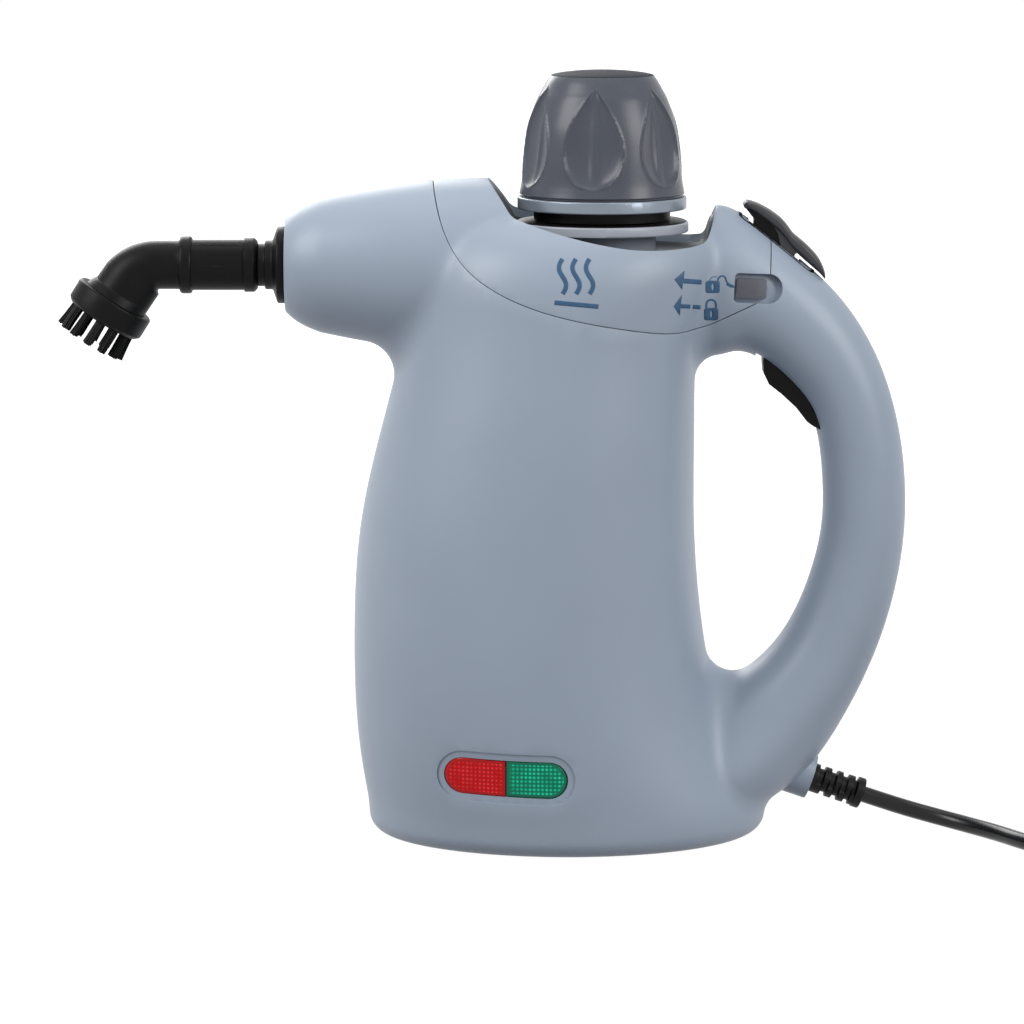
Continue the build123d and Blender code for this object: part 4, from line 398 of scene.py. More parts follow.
def grid_faces(rows, columns):
    """Quads over an open grid of points, row by row."""
    wide = columns + 1
    corners = [row * wide + column for row in range(rows) for column in range(columns)]
    return [(corner, corner + 1, corner + wide + 1, corner + wide) for corner in corners]


def sheet_faces(rows, columns):
    """Quads over a grid of points, over its copy behind it and round the border between them."""
    wide = columns + 1
    behind = (rows + 1) * wide
    faces = []
    for quad in grid_faces(rows, columns):
        faces.append(quad)
        faces.append(tuple(index + behind for index in reversed(quad)))
    border = (list(range(wide)) + [row * wide + columns for row in range(1, rows + 1)]
              + [rows * wide + column for column in range(columns - 1, -1, -1)]
              + [row * wide for row in range(rows - 1, 0, -1)])
    for start, end in zip(border, border[1:] + border[:1]):
        faces.append((start, start + behind, end + behind, end))
    return faces


def add_form(vertices, faces, more_vertices, more_faces):
    """Another form's points and faces join those of a piece."""
    faces += [tuple(corner + len(vertices) for corner in face) for face in more_faces]
    vertices += more_vertices


def round_turns(count):
    """Angles in even steps all the way round."""
    return [2 * math.pi * step / count for step in range(count)]


def circle(centre, across, beside, radius, columns):
    """Points round a circle, from one direction towards another."""
    return [centre + (across * math.cos(turn) + beside * math.sin(turn)) * radius
            for turn in round_turns(columns)]


def between(first, last, share):
    """A place that is a share of the way from one place to another."""
    return tuple(a + (b - a) * share for a, b in zip(first, last))


def smooth_profile(points, steps):
    """Points on a smooth line through the given ones."""
    line = []
    for index in range(len(points) - 1):
        before = points[max(index - 1, 0)]
        start, end = points[index], points[index + 1]
        after = points[min(index + 2, len(points) - 1)]
        for step in range(steps):
            t = step / steps
            line.append(tuple(
                0.5 * (2 * b + (c - a) * t + (2 * a - 5 * b + 4 * c - d) * t ** 2
                       + (3 * b - a - 3 * c + d) * t ** 3)
                for a, b, c, d in zip(before, start, end, after)))
    line.append(points[-1])
    return line


def surface_tree(*names):
    """The CAD surface of some nodes, for pieces that lie on it."""
    vertices, faces = [], []
    for name in names:
        data = frame["nodes"][name].data
        add_form(vertices, faces, [vertex.co.copy() for vertex in data.vertices],
                 [polygon.vertices for polygon in data.polygons])
    return BVHTree.FromPolygons(vertices, faces)


def seen_place(tree, column, row):
    """Where a pixel of the photograph falls on a surface, and the surface's direction there."""
    ray = camera_ray(column, row)
    place, normal, _, _ = tree.ray_cast(camera_place, ray, ray_reach)
    return place, -normal if normal.dot(ray) > 0 else normal


# Cap grip
grip_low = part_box("cap_grip")[0].z
grip_radius = 29.0 * mm
grip_height = 43.9 * mm
grip_shares = ((1.0, 0.022), (0.985, 0.07), (0.969, 0.139), (0.941, 0.330), (0.903, 0.522),
               (0.855, 0.649), (0.783, 0.777), (0.731, 0.841), (0.672, 0.910), (0.636, 0.945))
grip_top_shares = ((0.622, 0.958), (0.600, 0.966), (0.50, 0.979), (0.33, 0.992), (0.15, 0.999))
grip_bore_radius = 20.6 * mm
grip_bore_height = 23.0 * mm
grip_inner_top = 37.0 * mm
grip_dome_radius = 13.6 * mm
flute_count = 6
flute_phase = math.radians(262)
flute_half_angle = math.radians(22.5)
flute_low_share = 0.085
flute_high_share = 0.885
flute_wide_share = 0.36
flute_depth = 3.9 * mm
flute_bead = 0.36 * mm
flute_bead_angle = math.radians(1.15)
flute_bead_fade = 3
flute_crease = 0.95 * mm
flute_crease_angle = math.radians(3.8)
flute_point_power = 1.9
flute_hollow_power = 0.8
flute_depth_power = 0.9
grip_groove_shares = ((0.972, 0.0), (0.972, 0.011), (0.992, 0.015))
grip_columns = 432
grip_side_steps = 9
grip_top_steps = 3


def flute_offset(angle, height_share):
    """How far the grip's surface is drawn in, or stands out at a flute's rim."""
    pitch = 2 * math.pi / flute_count
    from_middle = abs((angle - flute_phase + pitch / 2) % pitch - pitch / 2)
    along = (height_share - flute_low_share) / (flute_high_share - flute_low_share)
    if not 0 < along < 1:
        return 0.0
    if along < flute_wide_share:
        width = math.sqrt(1 - (1 - along / flute_wide_share) ** 2)
    else:
        width = 1 - ((along - flute_wide_share) / (1 - flute_wide_share)) ** flute_point_power
    half_angle = flute_half_angle * width
    from_rim = (from_middle - half_angle) / flute_bead_angle
    bead = flute_bead * min(1, width * flute_bead_fade) * math.exp(-from_rim ** 2)
    if from_middle >= half_angle:
        return -bead
    inside = 1 - (from_middle / half_angle) ** 2
    crease = flute_crease * width ** 2 * math.exp(-(from_middle / flute_crease_angle) ** 2)
    return flute_depth * width ** flute_depth_power * inside ** flute_hollow_power - bead - crease


def make_cap_grip():
    side = list(grip_groove_shares) + smooth_profile(grip_shares, grip_side_steps)
    top = smooth_profile(grip_top_shares, grip_top_steps)
    lining = ((grip_dome_radius, grip_inner_top), (grip_dome_radius, grip_bore_height),
              (grip_bore_radius, grip_bore_height), (grip_bore_radius, 0.0))
    vertices = []
    for radius, height in lining:
        vertices += circle(Vector((0, 0, grip_low + height)), forwards, sideways, radius, grip_columns)
    for radius_share, height_share in side + top:
        height = grip_low + grip_height * height_share
        for turn in round_turns(grip_columns):
            radius = grip_radius * radius_share - flute_offset(turn, height_share)
            vertices.append((radius * math.cos(turn), radius * math.sin(turn), height))
    faces = ring_faces(len(vertices) // grip_columns, grip_columns)
    last = len(vertices) - grip_columns
    crown = len(vertices)
    vertices += [(0, 0, grip_low + grip_height), (0, 0, grip_low + grip_inner_top)]
    for column in range(grip_columns):
        after = (column + 1) % grip_columns
        faces.append((last + column, last + after, crown))
        faces.append((after, column, crown + 1))
    grip = mesh_object("cap_grip_fluted", vertices, faces, "cap_grip", "cap_grip", 28)
    # The top face above the flutes takes the darker colour, painted shade
    darker_top_height = grip_low + grip_height * grip_top_shares[0][1]
    dress_faces(grip, "cap_disc", lambda face: face.center.z > darker_top_height)
    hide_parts("cap_grip")


# Signal lenses
lens_rim = 1.5 * mm
lens_edge = 0.75 * mm
lens_edge_drop = 0.45 * mm
lens_field_step = 0.6 * mm
lens_plain_rim = 1.2 * mm
lens_body = 2.6 * mm
prism_height = 0.24 * mm
prism_sink = 0.144 * mm
lens_fill_share = 0.992
lens_sample_share = 0.95
lens_columns = 118
lens_rows = 68
lens_tilt = math.radians(-1.5)


def lens_relief(from_edge, along, up):
    """Height of the lens's face over its seat: a rounded rim round a field of small points."""
    rim = min(1.0, from_edge / lens_rim)
    edge = -lens_edge_drop * (1 - min(1.0, from_edge / lens_edge)) ** 2
    field = max(0.0, min(1.0, (from_edge - lens_rim) / lens_field_step))
    points = abs(math.sin(math.pi * along / prism_pitch) * math.sin(math.pi * up / prism_pitch))
    return edge + field * (prism_height * points - prism_sink) * rim


def make_lens(node, side, slot):
    """One half of the lamp window: side is -1 for the half towards the nose, 1 for the other."""
    low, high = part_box(node)
    tree = surface_tree(node)
    split = high.x if side < 0 else low.x
    length = high.x - low.x
    half_height = (high.z - low.z) / 2 * lens_fill_share
    level = (high.z + low.z) / 2
    front, back, edge_distance = [], [], []
    straight = length * lens_fill_share - half_height
    for row in range(lens_rows + 1):
        up = half_height * math.sin(math.pi * (row / lens_rows - 0.5))
        end = straight + math.sqrt(max(0.0, half_height ** 2 - up ** 2))
        for column in range(lens_columns + 1):
            along = end * column / lens_columns
            x = split + side * along
            z = level + up * math.cos(lens_tilt) + side * (along - length / 2) * math.sin(lens_tilt)
            sample = Vector((split + side * along * lens_sample_share, low.y - length,
                             level + (z - level) * lens_sample_share))
            place = tree.ray_cast(sample, sideways)[0] or tree.find_nearest(Vector((x, low.y, z)))[0]
            from_end = half_height - math.hypot(max(0.0, along - straight), up)
            from_edge = max(0.0, min(from_end, along))
            edge_distance.append(from_edge)
            front.append((x, place.y - lens_relief(from_edge, along, up), z))
            back.append((x, place.y + lens_body, z))
    edge_distance += [0.0] * len(back)
    lens = mesh_object(node + "_prisms", front + back, sheet_faces(lens_rows, lens_columns), "housing",
                       slot, 50)
    dress_faces(lens, slot + "_rim",
                lambda face: min(edge_distance[corner] for corner in face.vertices) < lens_plain_rim)
    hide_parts(node)


# Printed marks on the cover, placed by where the photograph shows them
mark_columns = 4
mark_step = 1.0
triangle_tip_share = 0.02
shaft_width = 4.8
lower_shaft_width = 4.08
arrow_upper = ((674.3, 279.4), (684.7, 270.7), (682.1, 289.8))
arrow_upper_shaft = ((683.6, 280.9), (701.6, 282.2))
arrow_lower = ((673.5, 306.3), (682.0, 294.6), (679.7, 315.8))
arrow_lower_shafts = (((681.0, 306.1), (690.2, 306.6)), ((692.6, 306.8), (700.4, 307.3)))
open_lock = (712.6, 286.8)
closed_lock = (711.2, 314.0)
lock_half_width = 7.2
lock_half_height = 6.2
lock_squareness = 6
lock_steps = 48
keyhole_half_width = 1.1
keyhole_half_height = 3.4
shackle_radius = 4.9
shackle_rise = 3.2
shackle_root = 0.5
shackle_steps = 12
shackle_width = 1.9
open_shackle = ((717.7, 282.0), (718.2, 278.8), (720.2, 276.5), (722.6, 276.0), (724.9, 277.2),
                (726.2, 280.4), (727.6, 283.6))
open_shackle_width = 1.615
shackle_end = ((727.2, 283.6), (730.6, 285.8), (734.4, 286.6))
shackle_end_widths = (3.4, 2.6)
shackle_trace = ((709.7, 280.6), (711.4, 277.8), (714.4, 276.6), (717.4, 277.3))
shackle_trace_width = 0.76
shackle_smooth_steps = 4
steam_columns = (562.5, 576.0, 589.5)
steam_steps = 24
steam_top = 259.0
steam_bottom = 294.0
steam_swing = 3.6
steam_width = 4.6
steam_base = ((554.5, 302.6), (598.5, 306.6))


def spread_points(points, step):
    """Points a step apart along a broken line."""
    line = []
    for start, end in zip(points, points[1:]):
        reach = math.dist(start, end)
        count = max(1, round(reach / step))
        line += [between(start, end, index / count) for index in range(count)]
    line.append(tuple(points[-1]))
    return line


def mark_row(first, last):
    """A row of points across a mark."""
    return [between(first, last, column / mark_columns) for column in range(mark_columns + 1)]


def band(points, width, width_end=None):
    """Rows across a line, from its start to its end."""
    line = spread_points(points, mark_step)
    rows = []
    for index, place in enumerate(line):
        before = line[max(index - 1, 0)]
        after = line[min(index + 1, len(line) - 1)]
        reach = math.dist(before, after)
        side = (-(after[1] - before[1]) / reach, (after[0] - before[0]) / reach)
        share = index / (len(line) - 1)
        half = (width + ((width_end if width_end is not None else width) - width) * share) / 2
        edges = [(place[0] + side[0] * offset, place[1] + side[1] * offset) for offset in (-half, half)]
        rows.append(mark_row(*edges))
    return rows


def triangle(tip, top, bottom):
    """Rows from a tip out to the far side of a triangle."""
    rows = []
    count = round(math.dist(tip, top) / mark_step)
    for index in range(count + 1):
        share = max(triangle_tip_share, index / count)
        rows.append(mark_row(between(tip, top, share), between(tip, bottom, share)))
    return rows


def lock_body(centre):
    """Rows from a keyhole out to a rounded square, all the way round."""
    rows = []
    for index in range(lock_steps + 1):
        turn = 2 * math.pi * index / lock_steps
        across, up = math.cos(turn), math.sin(turn)
        stretch = (abs(across / lock_half_width) ** lock_squareness
                   + abs(up / lock_half_height) ** lock_squareness) ** (-1 / lock_squareness)
        inner = (centre[0] + keyhole_half_width * across, centre[1] + keyhole_half_height * up)
        outer = (centre[0] + stretch * across, centre[1] + stretch * up)
        rows.append(mark_row(inner, outer))
    return rows


def closed_shackle(centre):
    """The bow over a closed padlock."""
    left, right = centre[0] - shackle_radius, centre[0] + shackle_radius
    foot = centre[1] - lock_half_height
    spring = foot - shackle_rise
    turns = [math.pi * step / shackle_steps for step in range(1, shackle_steps)]
    bow = [(centre[0] - shackle_radius * math.cos(turn), spring - shackle_radius * math.sin(turn))
           for turn in turns]
    return [(left, foot + shackle_root), (left, spring), *bow, (right, spring), (right, foot + shackle_root)]


def steam_wave(column):
    """One rising wave of steam."""
    shares = [step / steam_steps for step in range(steam_steps + 1)]
    return [(column + steam_swing * math.sin(2 * math.pi * share),
             steam_bottom + (steam_top - steam_bottom) * share) for share in shares]


def printed(name, sheets, tree):
    """Thin print that follows a surface: each sheet is rows of places in the photograph."""
    vertices, faces = [], []
    for rows in sheets:
        seen = [seen_place(tree, column, line) for row in rows for column, line in row]
        add_form(vertices, faces, [place + normal * print_lift for place, normal in seen],
                 grid_faces(len(rows) - 1, mark_columns))
    piece = mesh_object(name, vertices, faces, "housing", "blue_plastic", 60)
    shell = piece.modifiers.new("thickness", "SOLIDIFY")
    shell.thickness = print_thickness


def make_marks():
    tree = surface_tree("top_cover", "left_shell")
    arrows = [triangle(*arrow_upper), band(arrow_upper_shaft, shaft_width), triangle(*arrow_lower)]
    arrows += [band(shaft, lower_shaft_width) for shaft in arrow_lower_shafts]
    locks = [lock_body(open_lock), lock_body(closed_lock), band(closed_shackle(closed_lock), shackle_width),
             band(smooth_profile(open_shackle, shackle_smooth_steps), open_shackle_width),
             band(shackle_end, *shackle_end_widths),
             band(smooth_profile(shackle_trace, shackle_smooth_steps), shackle_trace_width)]
    steam = [band(steam_wave(column), steam_width) for column in steam_columns]
    steam.append(band(steam_base, steam_width))
    for name, sheets in (("arrow_marks", arrows), ("padlock_marks", locks), ("steam_mark", steam)):
        printed(name, sheets, tree)


# Strain relief: a sleeve with slots cut by turns from above and from below
relief_start = Vector((75.2, 0.0, 18.8)) * mm
relief_slope = math.radians(18.8)
relief_length = 19.4 * mm
relief_bore = 3.0 * mm
relief_core = 3.9 * mm
relief_rib = 5.15 * mm
relief_end_rib = 5.5 * mm
relief_flange = 6.6 * mm
relief_neck = 4.95 * mm
relief_flange_back = -7.4 * mm
relief_flange_front = -5.0 * mm
relief_neck_end = -0.1 * mm
relief_end_start = 16.5 * mm
relief_end_round = 0.5 * mm
relief_end_drop = 0.4 * mm
relief_upper_slots = ((3.2, 1.9), (7.6, 1.9), (11.9, 1.9), (16.0, 1.0))
relief_lower_slots = ((5.4, 1.8), (9.8, 1.8), (14.2, 1.6))
relief_slot_edge = 0.30 * mm
relief_slot_span = 0.30
relief_slot_fade = 0.22
relief_columns = 72
relief_rows = 110


def slot_share(along, slots):
    """How deep a place along the sleeve lies in one of some slots, from nought to one."""
    depths = [(width / 2 * mm - abs(along - middle * mm)) / relief_slot_edge + 0.5
              for middle, width in slots]
    return min(1.0, max(0.0, *depths))


def relief_radius(along, turn):
    """Radius of the sleeve at a place along it and a turn from its top."""
    cut = 0.0
    for side, slots in ((1, relief_upper_slots), (-1, relief_lower_slots)):
        open_share = min(1.0, max(0.0, (side * math.cos(turn) + relief_slot_span) / relief_slot_fade))
        cut = max(cut, open_share * slot_share(along, slots))
    rib = relief_end_rib if along > relief_end_start else relief_rib
    rounding = max(0.0, 1 - (relief_length - along) / relief_end_round) ** 2 * relief_end_drop
    return rib - (rib - relief_core) * cut - rounding


def make_strain_relief():
    axis = Vector((math.cos(relief_slope), 0, -math.sin(relief_slope)))
    upward = Vector((math.sin(relief_slope), 0, math.cos(relief_slope)))
    profile = [(relief_flange_back, relief_bore), (relief_flange_back, relief_flange),
               (relief_flange_front, relief_flange), (relief_flange_front, relief_neck),
               (relief_neck_end, relief_neck)]
    profile += [(relief_length * row / relief_rows, None) for row in range(relief_rows + 1)]
    profile.append((relief_length, relief_bore))
    vertices = []
    for along, radius in profile:
        for turn in round_turns(relief_columns):
            reach = relief_radius(along, turn) if radius is None else radius
            aside = upward * math.cos(turn) + sideways * math.sin(turn)
            vertices.append(relief_start + axis * along + aside * reach)
    faces = ring_faces(len(profile), relief_columns, closed_rows=True)
    relief = mesh_object("strain_relief_sleeve", vertices, faces, "housing", "rubber", 40)
    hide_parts("strain_relief")


# Brush: tufts of nylon strands in their pad
brush_axis = Vector((-math.cos(math.radians(57.7)), 0, -math.sin(math.radians(57.7))))
brush_back = Vector((-171.0, 0.0, 190.4)) * mm
pad_reach = 7.7 * mm
pad_thickness = 0.95 * mm
pad_radius = 12.3 * mm
pad_bore = 2.2 * mm
pad_columns = 64
strand_length = 9.6 * mm
strand_length_shares = (0.98, 1.0)
strand_waver = 0.12 * mm
strand_root_radius = 0.365 * mm
strand_tip_radius = 0.335 * mm
strand_pitch = 0.70 * mm
strand_sides = 6
strand_rings = 4
tuft_rings = ((12, 10.6 * mm, 4.0), (6, 5.6 * mm, 1.5))
tuft_reach = 2
tuft_lean_outward = (-0.3, 0.5)
tuft_lean_around = (-0.4, 0.4)


def strand(root, direction, bend, length):
    """A round, slightly bent and tapered strand, closed at both ends."""
    across = direction.orthogonal().normalized()
    beside = direction.cross(across)
    vertices = []
    for ring in range(strand_rings):
        share = ring / (strand_rings - 1)
        centre = root + direction * (length * share) + bend * share ** 2
        radius = strand_root_radius + (strand_tip_radius - strand_root_radius) * share
        vertices += circle(centre, across, beside, radius, strand_sides)
    return vertices, tube_faces(strand_rings, strand_sides)


def tuft_roots(middle, outward, around):
    """Where the strands of a tuft start: a hexagon of rows."""
    for row in range(-tuft_reach, tuft_reach + 1):
        count = 2 * tuft_reach + 1 - abs(row)
        for column in range(count):
            aside = (column - (count - 1) / 2) * strand_pitch
            yield middle + around * aside + outward * (row * strand_pitch * math.sqrt(3) / 2)


def make_bristles():
    draw = random.Random(7)
    forward = brush_axis.cross(sideways)
    base = brush_back + brush_axis * pad_reach
    vertices = []
    for along, radius in ((0.0, pad_bore), (0.0, pad_radius), (pad_thickness, pad_radius),
                          (pad_thickness, pad_bore)):
        vertices += circle(base + brush_axis * along, sideways, forward, radius, pad_columns)
    faces = ring_faces(len(vertices) // pad_columns, pad_columns, closed_rows=True)
    for count, ring_radius, splay in tuft_rings:
        for turn in round_turns(count):
            outward = sideways * math.cos(turn) + forward * math.sin(turn)
            around = brush_axis.cross(outward)
            direction = (brush_axis + outward * math.tan(math.radians(splay))).normalized()
            middle = base + outward * ring_radius + brush_axis * (pad_thickness / 2)
            lean = outward * draw.uniform(*tuft_lean_outward) + around * draw.uniform(*tuft_lean_around)
            for root in tuft_roots(middle, outward, around):
                waver = Vector([draw.uniform(-1, 1) for _ in range(3)]) * strand_waver
                length = strand_length * draw.uniform(*strand_length_shares)
                add_form(vertices, faces, *strand(root, direction, lean * mm + waver, length))
    bristles = mesh_object("bristle_tufts", vertices, faces, "brush", "bristle", 50)
    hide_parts("brush_bristles")


# Thumb lever: a smooth arched plate over a block that goes down into the handle
lever_length_unit = 107.7 * mm
lever_height_unit = 222.3 * mm
lever_upper_shares = (
    (0.459, 1.0075), (0.467, 1.0125), (0.479, 1.0128), (0.501, 1.0098), (0.525, 1.0044), (0.5506, 0.9973),
    (0.5822, 0.986), (0.604, 0.9745), (0.623, 0.962), (0.6472, 0.952), (0.6713, 0.9418), (0.7001, 0.927),
    (0.718, 0.9128), (0.7285, 0.899), (0.73, 0.8915))
lever_lower_shares = (
    (0.464, 1.001), (0.472, 0.9985), (0.483, 0.9975), (0.501, 0.993), (0.525, 0.984), (0.55, 0.9745),
    (0.58, 0.961), (0.6, 0.95), (0.615, 0.94), (0.633, 0.931), (0.654, 0.9215), (0.678, 0.9115),
    (0.697, 0.9035), (0.715, 0.8955), (0.727, 0.8885))
lever_width_shares = (0.52, 0.74, 0.88, 0.97, 1.0, 1.0, 1.0, 0.98, 0.96, 0.97, 1.0, 0.98, 0.86, 0.66, 0.42)
lever_half_width = 6.0 * mm
lever_squareness = 3.2
lever_crown_share = 0.10
lever_steps = 5
lever_columns = 40
lever_block_half_width = 4.1 * mm
lever_block_shares = (
    (0.47, 0.9995), (0.54, 0.988), (0.56, 0.976), (0.574, 0.96), (0.58, 0.945), (0.585, 0.928),
    (0.633, 0.9065), (0.6082, 0.896), (0.6082, 0.8745), (0.535, 0.8745), (0.52, 0.9), (0.496, 0.94),
    (0.495, 0.979), (0.495, 0.984))
lever_neck_half_width = 4.4 * mm
lever_neck_shares = (
    (0.556, 0.976), (0.573, 0.9605), (0.58, 0.946), (0.59, 0.93), (0.62, 0.916), (0.629, 0.929),
    (0.638, 0.931), (0.63, 0.943), (0.6, 0.96))


def lever_place(share, across=0.0):
    return Vector((share[0] * lever_length_unit, across, share[1] * lever_height_unit))


def signed_power(value, power):
    return math.copysign(abs(value) ** power, value)


def make_thumb_lever():
    upper = smooth_profile(lever_upper_shares, lever_steps)
    lower = smooth_profile(lever_lower_shares, lever_steps)
    widths = [width for (width,) in smooth_profile([(share,) for share in lever_width_shares], lever_steps)]
    vertices = []
    for top, bottom, width in zip(upper, lower, widths):
        above, below = lever_place(top), lever_place(bottom)
        middle, half_height = (above + below) / 2, (above - below) / 2
        for turn in round_turns(lever_columns):
            side = signed_power(math.cos(turn), 2 / lever_squareness)
            rise = signed_power(math.sin(turn), 2 / lever_squareness)
            crown = 1 - lever_crown_share * side ** 2 if rise > 0 else 1.0
            place = middle + half_height * (rise * crown)
            vertices.append((place.x, side * width * lever_half_width, place.z))
    faces = tube_faces(len(upper), lever_columns)
    for outline, half_width in ((lever_neck_shares, lever_neck_half_width),
                                (lever_block_shares, lever_block_half_width)):
        offset = len(vertices)
        points = [lever_place(share, across) for across in (-half_width, half_width) for share in outline]
        add_form(vertices, faces, points, tube_faces(2, len(outline)))
    lever = mesh_object("thumb_lever_plate", vertices, faces, "thumb_lever", "black_plastic", 55,
                        "lever_plastic")
    dress_faces(lever, "black_plastic", lambda face: min(face.vertices) >= offset)
    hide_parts("thumb_lever")


# Frame round the lever's opening: a thin flat band that lies on the handle
bezel_band = 1.2 * mm
bezel_rise = 0.35 * mm
bezel_outer_rise = 0.245 * mm
bezel_sink = 0.7 * mm
bezel_slope = math.radians(-34.5)
bezel_half_length = 15.6 * mm
bezel_half_width = 5.0 * mm
bezel_stations = 160
bezel_squareness = 7


def make_lever_bezel():
    tree = surface_tree("left_shell", "right_shell", "top_cover")
    low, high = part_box("lever_bezel")
    along = Vector((math.cos(bezel_slope), 0, math.sin(bezel_slope)))
    upward = Vector((-math.sin(bezel_slope), 0, math.cos(bezel_slope)))
    centre = Vector(((low.x + high.x) / 2, 0, (low.z + high.z) / 2))
    reach = high.x - low.x
    rows = [[], [], [], []]
    for turn in round_turns(bezel_stations):
        across, up = math.cos(turn), math.sin(turn)
        stretch = (abs(across) ** bezel_squareness + abs(up) ** bezel_squareness) ** (-1 / bezel_squareness)
        inner, outer = (along * (across * stretch * (bezel_half_length + band_width))
                        + sideways * (up * stretch * (bezel_half_width + band_width))
                        for band_width in (0.0, bezel_band))
        place = tree.ray_cast(centre + outer + upward * reach, -upward)[0]
        height = (place - centre - outer).dot(upward)
        corners = ((outer, -bezel_sink), (outer, bezel_outer_rise),
                   (inner, bezel_rise), (inner, -bezel_sink))
        for row, (side, rise) in zip(rows, corners):
            row.append(centre + side + upward * (height + rise))
    vertices = [point for row in rows for point in row]
    faces = ring_faces(len(rows), bezel_stations, closed_rows=True)
    bezel = mesh_object("lever_bezel_frame", vertices, faces, "housing", "black_plastic", 40)
    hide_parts("lever_bezel")


# Elbow nozzle: barrel with its two collars, a tight elbow and the flare over the brush
nozzle_axis_height = 202.3 * mm
nozzle_barrel_radius = 8.85 * mm
elbow_turn = math.radians(57.7)
elbow_pivot = (-155.6 * mm, 191.2 * mm)
elbow_inner_round = 2.6 * mm
elbow_tube_radius = 8.5 * mm
elbow_flare_radius = 9.7 * mm
elbow_rim_radius = 11.6 * mm
elbow_inner_fill = 1.9 * mm
elbow_fill_start_share = 0.1
elbow_fill_span_share = 0.6
elbow_flare_power = 1.5
elbow_flare_shares = ((0.35, 0.02), (0.58, 0.05), (0.66, 0.10), (0.70, 0.30), (0.76, 0.46), (0.88, 0.72),
                      (1.0, 1.0))
elbow_bore_radius = 6.1 * mm
elbow_end = (-171.0 * mm, 190.4 * mm)
elbow_bend_steps = 18
elbow_columns = 96
barrel_profile = (
    (-121.1, 5.9), (-121.1, 7.85), (-125.75, 7.85), (-125.75, 8.75), (-126.1, 8.85), (-143.5, 8.85),
    (-144.0, 8.98), (-144.1, 9.2), (-144.2, 9.65), (-144.7, 9.98), (-145.2, 10.05), (-147.2, 10.05),
    (-147.7, 9.98), (-148.2, 9.65), (-148.3, 9.0), (-148.5, 8.7), (-149.2, 8.52), (-150.5, 8.5),
    (-153.5, 8.5), (-156.0, 8.5))


def elbow_rows():
    """Centre, direction, radius and inner fill of each section, from the barrel to the brush."""
    rows = [(along * mm, nozzle_axis_height, 0.0, radius * mm, 0.0) for along, radius in barrel_profile]
    for step in range(elbow_bend_steps + 1):
        share = step / elbow_bend_steps
        turn = elbow_turn * share
        radius = elbow_tube_radius + (elbow_flare_radius - elbow_tube_radius) * share ** elbow_flare_power
        reach = elbow_inner_round + radius
        rise = min(1.0, max(0.0, (share - elbow_fill_start_share) / elbow_fill_span_share))
        rows.append((elbow_pivot[0] - math.sin(turn) * reach, elbow_pivot[1] + math.cos(turn) * reach,
                     turn, radius, elbow_inner_fill * rise ** 2 * (3 - 2 * rise)))
    start = rows[-1]
    for along, spread in elbow_flare_shares:
        radius = elbow_flare_radius + (elbow_rim_radius - elbow_flare_radius) * spread
        rows.append((*between(start, elbow_end, along), elbow_turn, radius, elbow_inner_fill * (1 - spread)))
    rows.append((*elbow_end, elbow_turn, elbow_bore_radius, 0.0))
    return rows


def make_elbow():
    vertices = []
    rows = elbow_rows()
    for x, z, turn, radius, fill in rows:
        for angle in round_turns(elbow_columns):
            up = radius * math.sin(angle) - fill * max(0.0, -math.sin(angle)) ** 2
            vertices.append((x - math.sin(turn) * up, radius * math.cos(angle), z + math.cos(turn) * up))
    faces = tube_faces(len(rows), elbow_columns)
    elbow = mesh_object("elbow_nozzle_moulding", vertices, faces, "nozzle", "black_plastic", 32)
    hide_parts("elbow_nozzle")


# Dark seal that lies on the collar under the cap: a thin ring whose dark rubber is painted shade, the shade
# the cap casts on the collar's top
shade_seal_inner_radius = 18.8 * mm
shade_seal_outer_radius = 29.6 * mm
shade_seal_thickness = 0.35 * mm
shade_seal_edge_height = 0.21 * mm
shade_seal_columns = 128


def make_collar_shade_seal():
    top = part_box("filler_collar")[1].z
    profile = ((shade_seal_inner_radius, 0.0), (shade_seal_outer_radius, 0.0), (shade_seal_outer_radius, shade_seal_edge_height),
               (shade_seal_outer_radius - shade_seal_thickness, shade_seal_thickness), (shade_seal_inner_radius, shade_seal_thickness))
    vertices = []
    for radius, height in profile:
        vertices += circle(Vector((0, 0, top + height)), forwards, sideways, radius, shade_seal_columns)
    faces = ring_faces(len(profile), shade_seal_columns, closed_rows=True)
    # The dark ring paints the cap's shade on the collar's top
    mesh_object("collar_shade_seal", vertices, faces, "housing", "rubber", 40)


# Nozzle: the mould lines and the small catch on its barrel
mould_line_front = -144.0 * mm
mould_line_back = -126.0 * mm
mould_line_width = 0.6 * mm
mould_line_height = 0.32 * mm
mould_line_turns = (math.radians(2), math.radians(58))
catch_middle = -134.6 * mm
catch_length = 4.2 * mm
catch_half_turn = math.radians(7)
catch_upper_turn = math.radians(2.1)
catch_height = 0.55 * mm
barrel_root = 0.25 * mm
ridge_columns = 24
ridge_rows = 8
ridge_end_power = 0.4
ridge_round_power = 0.7


def barrel_ridge(front, back, low_turn, high_turn, height):
    """A low rounded ridge on the nozzle's barrel: its face, and then its underside."""
    vertices = []
    for under in (False, True):
        for row in range(ridge_rows + 1):
            share = row / ridge_rows
            turn = low_turn + (high_turn - low_turn) * share
            for column in range(ridge_columns + 1):
                along = column / ridge_columns
                swell = math.sin(math.pi * share) * math.sin(math.pi * along) ** ridge_end_power
                rise = -barrel_root if under else height * swell ** ridge_round_power - barrel_root / 2
                radius = nozzle_barrel_radius + rise
                vertices.append(Vector((front + (back - front) * along, -radius * math.cos(turn),
                                        nozzle_axis_height + radius * math.sin(turn))))
    return vertices


